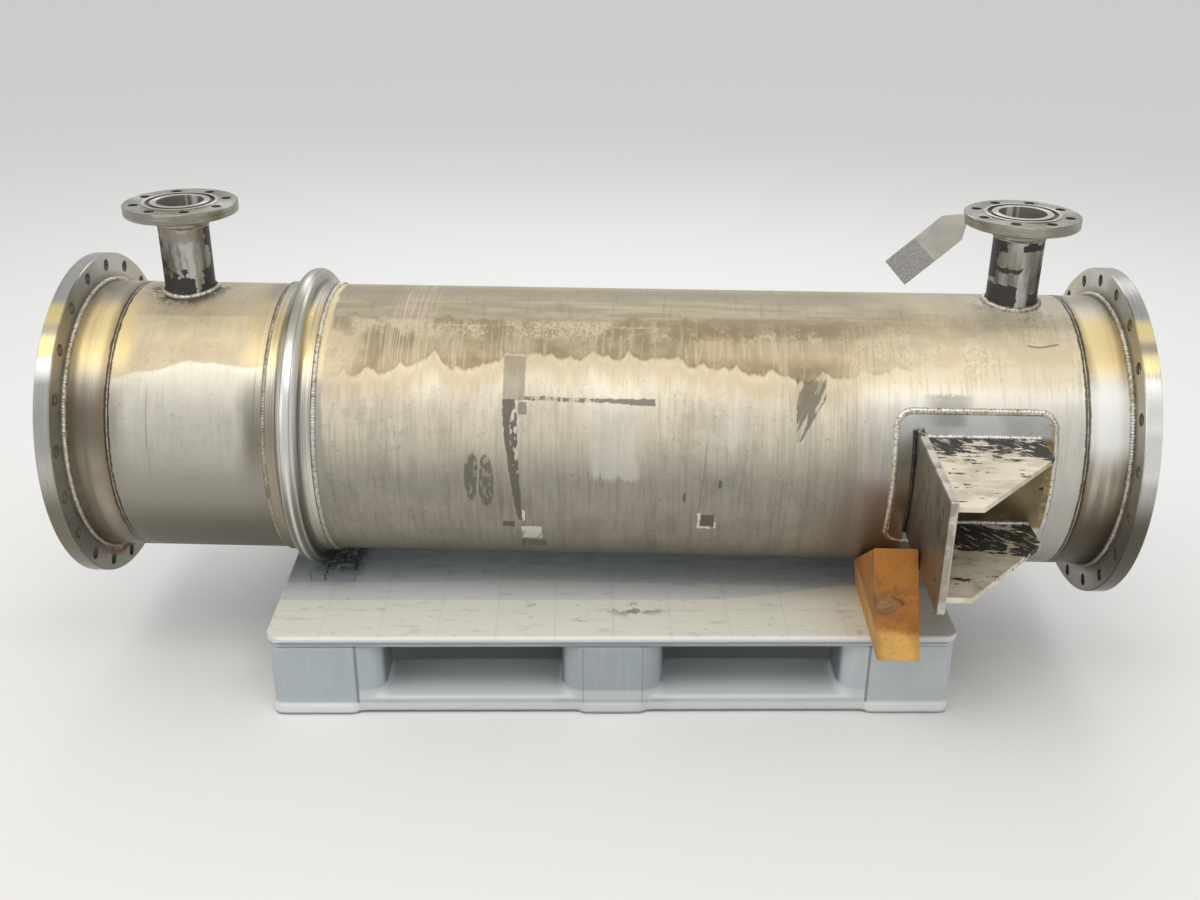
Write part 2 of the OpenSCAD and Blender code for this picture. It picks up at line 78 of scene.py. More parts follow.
SHELL_R = (ring_high.z - ring_low.z) / 2
AXIS_Z = (ring_high.z + ring_low.z) / 2
SEAM_X = ring_low.x
SHEET_BACK = ring_high.x
SHEET_FACE = sheet_high.x
SHEET_R = (sheet_high.z - sheet_low.z) / 2
BELLOWS_X = (bellows_low.x + bellows_high.x) / 2
SLEEVE_END = (bellows_high.x - bellows_low.x) / 2
NOZZLE_X = (flange_low.x + flange_high.x) / 2
NOZZLE_FACE = flange_high.z
NOZZLE_FLANGE_R = (flange_high.x - flange_low.x) / 2
PIPE_R = (pipe_high.x - pipe_low.x) / 2
PIPE_TOP = pipe_high.z
PAD_R = -pad_low.y
LUG_X = plate_low.x
LUG_BACK_X = plate_high.x
LUG_EDGE = -plate_low.y
print("shell radius", round(SHELL_R, 4), "axis at", round(AXIS_Z, 4),
      "nozzles at", round(NOZZLE_X, 4))

# %% [markdown]
# ## Camera, floor and light
#
# The photograph was taken standing, from the front and a little above, so the camera
# looks about 25 degrees down. Its place and lens come from fitting the round rims, the
# nozzles and the pallet. Dull metal shows what is round it, so the light is one wide
# soft lamp over the front, which gives the long bright band on the shell, a weaker one
# behind, and a pale surrounding. The world has two levels: a pale one that the camera
# and the metal see, and a lower one that lights, so that colours come out as written.

# %% A small wrapper for node trees
MIX_FACTOR, MIX_A, MIX_B = 0, 6, 7  # the colour sockets of a Mix node
MIX_RESULT = 2


class Value:
    """A socket of a node tree. Sums on it add Math nodes."""

    def __init__(self, tree, socket):
        self.tree, self.socket = tree, socket

    def maths(self, operation, *others, **settings):
        settings["operation"] = operation
        return self.tree.node("ShaderNodeMath", settings, dict(enumerate((self, *others))))

    def other(self, output):
        """Another output of the same node."""
        return Value(self.tree, self.socket.node.outputs[output])

    def __add__(self, other):
        return self.maths("ADD", other)

    def __sub__(self, other):
        return self.maths("SUBTRACT", other)

    def __rsub__(self, other):
        return self.maths("MULTIPLY_ADD", -1.0, other)

    def __mul__(self, other):
        return self.maths("MULTIPLY", other)

    def __truediv__(self, other):
        return self.maths("DIVIDE", other)

    __radd__, __rmul__ = __add__, __mul__

    def rise(self, low, high):
        """0 below low, 1 above high, and smooth between."""
        return self.tree.node(
            "ShaderNodeMapRange", {"interpolation_type": "SMOOTHSTEP"}, {0: self, 1: low, 2: high}
        )

    def fall(self, low, high):
        """1 below low, 0 above high, and smooth between."""
        return 1 - self.rise(low, high)

    def window(self, low, high, soft):
        """1 between low and high, 0 outside, with soft edges."""
        return self.rise(low - soft, low + soft) * self.fall(high - soft, high + soft)

    def size(self):
        """The value without its sign."""
        return self.maths("ABSOLUTE")

    def near(self, inner, outer):
        """1 within inner of zero on either side, 0 beyond outer."""
        return self.size().fall(inner, outer)

    def either(self, *others):
        """The largest of these values, so that masks join."""
        joined = self
        for other in others:
            joined = joined.maths("MAXIMUM", other)
        return joined

    def coat(self, share, colour):
        """This colour, with another over it where share is 1."""
        return self.tree.blend(share, self, colour)

    def tint(self, share, colour):
        """This colour, multiplied by another where share is 1."""
        return self.tree.blend(share, self, colour, "MULTIPLY")


class Tree:
    """Adds nodes to a node tree. Every node comes from one method."""

    def __init__(self, node_tree):
        self.node_tree = node_tree
        node_tree.nodes.clear()

    def node(self, kind, settings=None, inputs=None, output=0):
        made = self.node_tree.nodes.new(kind)
        for key, setting in (settings or {}).items():
            if key == "stops":
                ramp = made.color_ramp
                while len(ramp.elements) < len(setting):
                    ramp.elements.new(0.5)
                for element, (position, colour) in zip(ramp.elements, setting):
                    element.position, element.color = position, colour
            else:
                setattr(made, key, setting)
        for key, value in (inputs or {}).items():
            if isinstance(value, Value):
                self.node_tree.links.new(value.socket, made.inputs[key])
            else:
                made.inputs[key].default_value = value
        return Value(self, made.outputs[output]) if made.outputs else made

    def vector(self, operation, *inputs):
        """Maths on positions. A length is the node's second output."""
        sockets = dict(enumerate(inputs))
        return self.node(
            "ShaderNodeVectorMath", {"operation": operation}, sockets, int(operation == "LENGTH")
        )

    def blend(self, factor, a, b, blend_type="MIX"):
        """Colour a where factor is 0 and b where it is 1."""
        settings = {"data_type": "RGBA", "blend_type": blend_type, "clamp_factor": True}
        sockets = {MIX_FACTOR: factor, MIX_A: tone(a), MIX_B: tone(b)}
        return self.node("ShaderNodeMix", settings, sockets, MIX_RESULT)

    def seen(self):
        """1 for the camera's rays and for those mirrored or bent on their way to it."""
        ray = self.node("ShaderNodeLightPath", output="Is Camera Ray")
        return ray.either(ray.other("Is Glossy Ray"), ray.other("Is Transmission Ray"))


def tone(colour):
    """A colour of three numbers gets its fourth."""
    return (*colour, 1.0) if isinstance(colour, tuple) and len(colour) == 3 else colour


print("helpers ready")

# %% Camera
PHOTO_WIDTH = 1200
FOCAL_PIXELS = 1306.505
CAMERA_PLACE = Vector((0.07277, -2.27745, 1.43005))
CAMERA_YAW, CAMERA_PITCH, CAMERA_ROLL = 0.029, 0.43, 0.007

ahead = Vector((
    -sin(CAMERA_YAW) * cos(CAMERA_PITCH), cos(CAMERA_YAW) * cos(CAMERA_PITCH), -sin(CAMERA_PITCH)
))
level_right = Vector((cos(CAMERA_YAW), sin(CAMERA_YAW), 0))
level_up = level_right.cross(ahead)
right = cos(CAMERA_ROLL) * level_right + sin(CAMERA_ROLL) * level_up
up = cos(CAMERA_ROLL) * level_up - sin(CAMERA_ROLL) * level_right

camera_data = bpy.data.cameras.new("camera")
camera_data.sensor_width = 36
camera_data.lens = FOCAL_PIXELS * camera_data.sensor_width / PHOTO_WIDTH
camera = bpy.data.objects.new("camera", camera_data)
scene.collection.objects.link(camera)
facing = Matrix((right, up, -ahead)).transposed().to_4x4()
camera.matrix_world = Matrix.Translation(CAMERA_PLACE) @ facing
scene.camera = camera
scene.view_settings.view_transform = "Standard"
print("lens", round(camera_data.lens, 2), "mm")

# %% Floor, lamps and world
FLOOR_SEEN = (0.90, 0.895, 0.88)
FLOOR_LIGHT = (0.46, 0.455, 0.44)
SURROUND = (0.62, 0.63, 0.65)
SOFT_FILL = (0.66, 0.665, 0.67)
FLOOR_SIZE = 60.0
FLOOR_ROUGH = 0.8


def area_lamp(name, place, target, size, watts, colour):
    lamp = bpy.data.lights.new(name, "AREA")
    lamp.shape, lamp.size, lamp.size_y = "RECTANGLE", size[0], size[1]
    lamp.energy, lamp.color = watts, colour
    holder = bpy.data.objects.new(name, lamp)
    scene.collection.objects.link(holder)
    holder.location = place
    holder.rotation_euler = (Vector(target) - Vector(place)).to_track_quat("-Z", "Y").to_euler()
    print(name, watts, "W")


MIDDLE, LEFT_PART = (0, 0, 0.45), (-0.6, 0, 0.45)
WARM, COOL, NEARLY_WHITE = (1.0, 0.97, 0.92), (0.97, 0.98, 1.0), (1.0, 0.98, 0.95)
area_lamp("lamp_front", (-0.2, -1.75, 3.6), MIDDLE, (4.6, 1.5), 58, WARM)
area_lamp("lamp_back", (0.3, 2.6, 2.8), MIDDLE, (3.6, 1.2), 28, COOL)
area_lamp("lamp_side", (-3.6, -2.4, 1.8), LEFT_PART, (1.2, 1.8), 10, NEARLY_WHITE)

world = bpy.data.worlds.new("studio")
scene.world = world
world.use_nodes = True
sky = Tree(world.node_tree)
sky_colour = sky.blend(sky.seen(), SOFT_FILL, SURROUND)
sky_light = sky.node("ShaderNodeBackground", None, {"Color": sky_colour})
sky.node("ShaderNodeOutputWorld", None, {"Surface": sky_light})

floor_mesh = bpy.data.meshes.new("floor")
half = FLOOR_SIZE / 2
floor_corners = [(-half, -half, 0), (half, -half, 0), (half, half, 0), (-half, half, 0)]
floor_mesh.from_pydata(floor_corners, [], [(0, 1, 2, 3)])
floor = bpy.data.objects.new("floor", floor_mesh)
scene.collection.objects.link(floor)
floor_material = bpy.data.materials.new("pale_floor")
floor_material.use_nodes = True
floor_tree = Tree(floor_material.node_tree)
floor_colour = floor_tree.blend(floor_tree.seen(), FLOOR_LIGHT, FLOOR_SEEN)
floor_shader = floor_tree.node(
    "ShaderNodeBsdfPrincipled", None, {"Base Color": floor_colour, "Roughness": FLOOR_ROUGH}
)
floor_tree.node("ShaderNodeOutputMaterial", None, {"Surface": floor_shader})
floor_mesh.materials.append(floor_material)

# %% [markdown]
# ## Finishes
#
# A finish starts from the object's own coordinates in metres. On a shell the useful
# ones are the distance along it and the way round it from the top, so that a run of
# dirt goes down the plate whatever the angle. Each finish mixes its colours with masks
# made of noise and of soft windows on those coordinates, and the same masks drive
# roughness and a fine bump, so that stains are also duller and paint stands proud.


# %% The paint class
class Paint(Tree):
    """A material under way, with the object's coordinates at hand."""

    def __init__(self, name):
        self.material = bpy.data.materials.new(name)
        self.material.use_nodes = True
        super().__init__(self.material.node_tree)
        self.place = self.node("ShaderNodeTexCoord", output="Object")
        self.x = self.node("ShaderNodeSeparateXYZ", None, {0: self.place})
        self.y, self.z = self.x.other(1), self.x.other(2)

    def noise(self, scale, detail=3.0, seed=0.0, place=None, rough=0.55):
        """Cloudy noise, 0 to 1, with a scale per metre for each axis."""
        scale = scale if isinstance(scale, tuple) else (scale, scale, scale)
        aside = (seed, seed * 0.7, -seed)
        moved = self.vector("MULTIPLY_ADD", place or self.place, scale, aside)
        return self.node("ShaderNodeTexNoise", None, {
            "Vector": moved, "Scale": 1.0, "Detail": detail, "Roughness": rough
        })

    def point(self, x, y, z):
        """A position made of three numbers or values."""
        return self.node("ShaderNodeCombineXYZ", None, {0: x, 1: y, 2: z})

    def round_shell(self):
        """Distance round the shell from its top in metres, alike at front and back."""
        turn = self.y.maths("ARCTAN2", self.z - AXIS_Z)
        return turn.size() * SHELL_R

    def from_axis(self):
        """Distance from the shell's axis."""
        height = self.z - AXIS_Z
        return (self.y * self.y + height * height).maths("SQRT")

    def from_nozzle(self):
        """Distance from the upright axis of the nearer nozzle."""
        return self.vector("LENGTH", self.point(self.x.size() - NOZZLE_X, self.y, 0.0))

    def front(self):
        """1 on the front half and 0 on the back."""
        return self.y.fall(-0.02, 0.02)

    def at_right(self):
        """1 at the right end and 0 at the left, for pieces that come in pairs."""
        return self.x.rise(-0.1, 0.1)

    def upper(self):
        """1 on the upper half of the shell."""
        return self.z.rise(AXIS_Z, AXIS_Z + 0.05)

    def finish(self, colour, rough, metal=0.0, height=None, lift=0.001):
        """Ends the material and returns it. Height runs from 0 to 1 and lift is in metres."""
        inputs = {"Base Color": colour, "Roughness": rough, "Metallic": metal}
        if height is not None:
            inputs["Normal"] = self.node(
                "ShaderNodeBump", None, {"Strength": 1.0, "Distance": lift, "Height": height}
            )
        shader = self.node("ShaderNodeBsdfPrincipled", None, inputs)
        self.node("ShaderNodeOutputMaterial", None, {"Surface": shader})
        print("finish", self.material.name, len(self.node_tree.nodes), "nodes")
        return self.material


def dress(material, *nodes):
    """Gives a material to CAD nodes."""
    for node in nodes:
        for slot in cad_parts[node].material_slots:
            slot.material = material


# %% [markdown]
# ## The long shell course
#
# The plate is pickled stainless steel that has stood for years: cream-grey and streaked
# down its sides, browner above a line where runs of dirt have dried in drips, and clean
# and bright where it was brushed beside the welds. Old tape has left dark strips and
# patches. The drip line is a ramp along the shell for its big waves, with noise for the
# drips themselves, and the tape marks are windows whose edges noise makes ragged.

# %% Colours of the long course
CREAM = (0.73, 0.665, 0.525)
LOW_SHADE_AND_DIRT = (0.365, 0.338, 0.287)
RUN_TAN = (0.49, 0.40, 0.255)
TOP_BROWN = (0.335, 0.265, 0.16)
TOP_TAN = (0.465, 0.385, 0.25)
TOP_GREY = (0.33, 0.295, 0.22)
FLECK = (0.76, 0.67, 0.485)
TAPE_MARK = (0.15, 0.132, 0.10)
PEELED = (0.84, 0.81, 0.73)
BRUSHED = (0.78, 0.75, 0.68)
SOOT = (0.035, 0.032, 0.028)
SCORCHED = (0.055, 0.042, 0.028)
MILKY = (0.80, 0.775, 0.69)
RUN_BUFF, RUN_GOLD = (0.51, 0.43, 0.295), (0.70, 0.61, 0.435)
DRY_TAN, WET_TAN = (0.50, 0.43, 0.305), (0.385, 0.33, 0.23)
GOLD_DULL, GOLD_CLEAR = (0.60, 0.50, 0.335), (0.79, 0.68, 0.475)
GOLD_BRIGHT, GOLD_PALE = (0.84, 0.70, 0.48), (1.0, 0.87, 0.63)
TOOTH_BROWN, SPECK_BROWN = (0.25, 0.195, 0.115), (0.27, 0.215, 0.13)
FLECK_BROWN, DRIFT_BROWN = (0.40, 0.32, 0.20), (0.29, 0.23, 0.14)
PALE_RUN = (0.66, 0.545, 0.36)
LINE_BROWN, LINE_HALO = (0.22, 0.165, 0.095), (0.70, 0.62, 0.46)
SCRATCH_PALE, SCRATCH_DARK = (0.72, 0.63, 0.46), (0.36, 0.32, 0.25)
SILVER_GRAIN, SILVER_LOW_SHADE = (0.52, 0.50, 0.45), (0.55, 0.54, 0.50)
HEAT_STRAW, HEAT_GREY, HEAT_DARK = (0.84, 0.73, 0.44), (0.40, 0.385, 0.345), (0.30, 0.285, 0.245)
GRIME = (0.30, 0.28, 0.235)
BELLY_SHADE_AND_DIRT, WEDGE_REFLECTION_SHADE, PIPE_SOOT = (0.20, 0.182, 0.14), (0.20, 0.155, 0.10), (0.12, 0.11, 0.09)

# %% Where the brown ends
DRIP_LINE = [  # where along the shell, and how far down from its top
    (-0.46, 0.222), (-0.40, 0.214), (-0.34, 0.208), (-0.30, 0.190), (-0.274, 0.172),
    (-0.245, 0.208), (-0.21, 0.204), (-0.174, 0.190), (-0.145, 0.172), (-0.10, 0.168),
    (-0.06, 0.182), (-0.02, 0.180), (0.01, 0.170), (0.05, 0.182), (0.12, 0.176), (0.16, 0.190),
    (0.205, 0.196), (0.245, 0.194), (0.275, 0.206), (0.31, 0.201), (0.36, 0.217), (0.42, 0.208),
    (0.49, 0.200), (0.56, 0.188), (0.66, 0.182), (0.80, 0.170)]
LINE_TOP = 0.25
print("drip line", len(DRIP_LINE), "points")


def steel_grain(paint, seed):
    """Streaks that run round the shell, and clouds, both 0 to 1."""
    streaks = paint.noise((46.0, 2.2, 2.2), 4.0, seed)
    clouds = paint.noise(5.0, 4.0, seed + 3)
    fine = paint.noise((150.0, 12.0, 12.0), 3.0, seed + 5)
    return streaks, clouds, fine


def seam_line(paint, colour):
    """A dark scorched line where an end ring meets its course."""
    ragged = paint.noise(60.0, 4.0, 17.0, rough=0.65) * 0.0060 + 0.0008
    gap = (paint.x.size() - SEAM_X).size() - ragged
    return colour.coat(gap.fall(-0.0006, 0.0022) * 0.92, SCORCHED)


def scallops(paint, per_metre, reach):
    """A row of round lobes along the shell, each hanging down by about reach."""
    cell = paint.node("ShaderNodeTexVoronoi", {"voronoi_dimensions": "1D"}, {
        "W": paint.x * per_metre, "Scale": 1.0})
    return (0.25 - cell * cell) * (4 * reach)


def run_line(paint):
    """How far down the brown goes: the big waves, and the drips that hang from them."""
    first, last = DRIP_LINE[0][0], DRIP_LINE[-1][0]
    stops = [((x - first) / (last - first), (v / LINE_TOP,) * 3 + (1,)) for x, v in DRIP_LINE]
    share = (paint.x - first) / (last - first)
    waves = paint.node("ShaderNodeValToRGB", {"stops": stops}, {0: share})
    wander = paint.noise(26.0, 3.0, 7.0) - 0.5
    drips = scallops(paint, 33.0, 0.0065)
    small_drips = scallops(paint, 84.0, 0.0022)
    return waves * LINE_TOP + drips + small_drips + wander * 0.016 - 0.005


# %% Tape marks
def tape_marks(paint, down):
    """Dark strips and patches that tape has left, and the pale spots where it peeled."""
    x = paint.x + (paint.noise(85.0, 3.0, 12.0) - 0.5) * 0.006
    drop = down + (paint.noise(95.0, 3.0, 15.0) - 0.5) * 0.008
    wrinkles = paint.noise((120.0, 60.0, 60.0), 3.0, 21.0)

    def mark(x1, x2, drop1, drop2, soft=0.0008):
        return x.window(x1, x2, soft) * drop.window(drop1, drop2, soft)

    def oval(middle, middle_drop, reach, reach_drop):
        a, b = (x - middle) / reach, (drop - middle_drop) / reach_drop
        return (a * a + b * b).fall(0.90, 1.10)

    def stroke(x1, drop1, drop2, slope, width):
        gap = (x - (drop - drop1) * slope - x1).size()
        return gap.fall(width * 0.6, width * 1.3) * drop.window(drop1, drop2, 0.002)

    # the broad strip, which leans and narrows away from its middle
    strip_top = mark(-0.155, -0.117, 0.178, 0.258)
    offset = x - (drop - 0.256) * 0.077 + 0.1445
    width = 0.0125 - (drop - 0.295).size() * 0.045
    strip_low = (offset.size() - width).fall(-0.0008, 0.0008) * drop.window(0.256, 0.489, 0.001)
    peeled = wrinkles.rise(0.52, 0.56) * offset.rise(-0.003, 0.001)
    peeled = peeled * drop.window(0.272, 0.385, 0.006)

    # the level strip that crosses it
    gap = (drop - (paint.x * 0.02 + 0.2565)).size() - x.rise(0.02, 0.1) * 0.0030
    cross = gap.fall(0.0026, 0.0042) * x.window(-0.128, 0.107, 0.001)
    cross = cross * (1 - wrinkles.rise(0.50, 0.55) * x.fall(-0.01, 0.02) * 0.75)

    # two long patches with a crease between them
    lobes = oval(-0.207, 0.398, 0.0145, 0.046).either(oval(-0.184, 0.405, 0.0135, 0.052))
    creases = stroke(-0.194, 0.362, 0.448, -0.09, 0.0016)
    lobes = lobes * (1 - creases.either(wrinkles.rise(0.54, 0.58)) * 0.75)

    # the slanted patch right of the middle, worn in stripes
    right_edge = x + (drop - 0.245).either(0.0) * 0.55
    slanted = x.rise(0.3462, 0.3478) * right_edge.fall(0.3970, 0.3990)
    slanted = slanted * drop.window(0.192, 0.322, 0.0015)
    streaked = paint.point(x + drop * 0.426, drop, 0.0)
    stripes = paint.noise((125.0, 9.0, 1.0), 2.0, 25.0, streaked).rise(0.53, 0.58)
    slanted = slanted * (1 - stripes * 0.85) * (drop.rise(0.208, 0.222) * 0.62 + 0.22)

    # small marks, strokes and a wavy dash near the right end
    wave = ((paint.x - 0.746) * 80.0).maths("SINE") * 0.0032
    dash = (down - 0.139 - wave).near(0.0012, 0.0026) * x.window(0.746, 0.801, 0.002)
    small = mark(0.190, 0.2145, 0.467, 0.497).either(
        mark(0.218, 0.2245, 0.393, 0.408), mark(0.158, 0.1625, 0.420, 0.437),
        mark(-0.158, -0.137, 0.492, 0.509), stroke(-0.123, 0.553, 0.592, -0.10, 0.0045),
        mark(-0.118, -0.083, 0.556, 0.583), stroke(0.197, 0.33, 0.46, -0.08, 0.0009) * 0.6,
        mark(-0.128, -0.113, 0.262, 0.283) * 0.7, dash * 0.8)
    dark = (strip_top * 0.50).either(
        strip_low * (1 - peeled * 0.9), cross * 0.85, lobes * 0.85, slanted, small)

    # where the plate shows pale
    rag_edge = mark(0.186, 0.2185, 0.486, 0.503).either(mark(0.185, 0.192, 0.463, 0.500))
    hatched = mark(-0.126, -0.090, 0.507, 0.547) * (1 - stripes * drop.rise(0.515, 0.535) * 0.8)
    pale = hatched.either(rag_edge * wrinkles.rise(0.36, 0.46)) * (1 - small)
    pale = pale.either(
        creases * 0.7 * lobes, strip_low * peeled * 0.5, oval(-0.121, 0.478, 0.003, 0.014))
    return dark * paint.front(), pale * paint.front()


# %% The sides of the long course
class LongCourseNoise:
    """The noises that the long course's layers share."""

    def __init__(self, paint):
        self.streaks, self.clouds, self.fine = steel_grain(paint, 1.0)
        self.blots = paint.noise(15.0, 5.0, 10.0, rough=0.62)
        self.specks = paint.noise((190.0, 150.0, 150.0), 4.0, 9.0, rough=0.65)
        self.level = paint.noise((7.0, 75.0, 75.0), 4.0, 27.0)
        self.long_streaks = paint.noise((30.0, 0.8, 0.8), 5.0, 28.0, rough=0.65)


def plate_sides(paint, noise, down, below):
    """Cream plate with painted shade and dirt lower down, streaks, milky patches and warm runs."""
    fine, blots, long_streaks = noise.fine, noise.blots, noise.long_streaks
    # painted shade with dirt: the plate is darker lower down the shell
    side = paint.blend(down.rise(0.30, 0.41), CREAM, LOW_SHADE_AND_DIRT)
    side = side.tint(fine.rise(0.44, 0.66) * 0.55, (0.76, 0.75, 0.73))
    side = side.tint(long_streaks.rise(0.53, 0.64) * 0.6, (0.80, 0.79, 0.77))
    side = side.tint(long_streaks.fall(0.38, 0.45) * 0.6, (1.10, 1.11, 1.12))
    side = side.tint(blots.fall(0.38, 0.47) * 0.6, (0.84, 0.84, 0.83))
    side = side.tint(blots.rise(0.52, 0.64) * 0.5, (1.12, 1.12, 1.12))
    side = side.tint(noise.specks.rise(0.62, 0.67) * 0.6, (0.50, 0.47, 0.42))

    spread = down + (blots - 0.5) * 0.09 + (long_streaks - 0.5) * 0.10
    broad = (paint.x + (blots - 0.5) * 0.05).window(-0.002, 0.082, 0.008)
    narrow = (paint.x + (blots - 0.5) * 0.06).window(0.208, 0.258, 0.010)
    milky = broad * spread.window(0.235, 0.395, 0.010)
    milky = milky.either(narrow * spread.window(0.27, 0.325, 0.012))
    side = side.coat(milky * 0.42, MILKY)

    warm = (below + (fine - 0.5) * 0.06 + (long_streaks - 0.5) * 0.09).fall(0.016, 0.064)
    runs = paint.blend(fine.rise(0.38, 0.62), RUN_TAN, RUN_BUFF)
    runs = runs.coat(paint.x.rise(0.40, 0.56), RUN_GOLD)
    return side.coat(warm * 0.75, runs)


# %% The brown top of the long course
def brown_top(paint, noise, down, thin):
    """Brown dirt in bands, crusted at the shoulder, with a painted golden reflection where thin is
    1.
    """
    fine, blots, specks, level = noise.fine, noise.blots, noise.specks, noise.level
    brown = paint.blend(blots.rise(0.40, 0.60), TOP_BROWN, TOP_TAN)
    teeth = scallops(paint, 30.0, 0.0065) + (level - 0.5) * 0.012 + 0.092
    band = (down + (specks - 0.5) * 0.004 - teeth).fall(-0.002, 0.004)
    flat_tan = paint.blend(level.rise(0.40, 0.60), DRY_TAN, WET_TAN)
    brown = brown.coat(band * 0.85, paint.blend(down.rise(0.010, 0.050), TOP_GREY, flat_tan))
    tooth_edge = (down - teeth).window(-0.004, 0.001, 0.002) * blots.rise(0.36, 0.52)
    brown = brown.coat(tooth_edge * 0.30, TOOTH_BROWN)

    broken = (specks * 0.55 + blots * 0.45 + noise.streaks * 0.25).rise(0.635, 0.670)
    crust = broken * down.window(0.098, 0.142, 0.010)
    crust = crust.either((down - 0.113).near(0.0008, 0.0022) * level.rise(0.50, 0.56))
    falls = (fine * 0.55 + noise.long_streaks * 0.45).rise(0.50, 0.58) * down.rise(0.07, 0.12)
    brown = brown.coat((crust * 0.55).either(falls * 0.45), FLECK)
    brown = brown.coat(fine.rise(0.52, 0.70) * 0.35, SPECK_BROWN)

    # golden patches of painted warm reflection
    patches = blots.rise(0.42, 0.58)
    golden = paint.blend(patches, GOLD_DULL, GOLD_CLEAR)
    golden = golden.coat(
        paint.x.rise(0.50, 0.62), paint.blend(patches, GOLD_BRIGHT, GOLD_PALE))
    golden = golden.coat((specks * 0.5 + blots * 0.5).rise(0.54, 0.59) * 0.35, FLECK_BROWN)
    brown = brown.coat(thin, golden)

    to_right = paint.x.rise(0.10, 0.20) * paint.x.fall(0.40, 0.50)
    drift = down + (blots - 0.5) * 0.04
    brown = brown.coat(to_right * drift.window(0.088, 0.124, 0.010) * 0.55, DRIFT_BROWN)
    streaky = fine.rise(0.42, 0.58) * 0.35 + 0.35
    return brown.coat(to_right * drift.window(0.138, 0.178, 0.010) * streaky, PALE_RUN)


# %% Scratches and brushed zones of the long course
def scratch(paint, colour, down, above):
    """Hair-fine scratches round the shell."""
    hairs = paint.noise((420.0, 5.0, 5.0), 3.0, 29.0, rough=0.6)
    by_bellows = paint.x.window(-0.360, -0.285, 0.010) * hairs.rise(0.50, 0.58)
    colour = colour.coat(by_bellows * down.window(0.00, 0.20, 0.03) * 0.50, SCRATCH_PALE)
    to_right = paint.x.window(0.30, 0.52, 0.04) * hairs.rise(0.54, 0.60)
    colour = colour.coat(to_right * down.window(0.10, 0.46, 0.05) * 0.30, SCRATCH_DARK)
    return colour.tint(hairs.fall(0.36, 0.44) * (1 - above) * 0.25, (1.16, 1.16, 1.15))


def round_pad(paint):
    """How far a point lies outside the pad, along the shell and up or down."""
    pad_x = (paint.x - (pad_low.x + pad_high.x) / 2).size() - (pad_high.x - pad_low.x) / 2
    pad_z = (paint.z - AXIS_Z).size() - (pad_high.z - pad_low.z) / 2
    return pad_x, pad_z


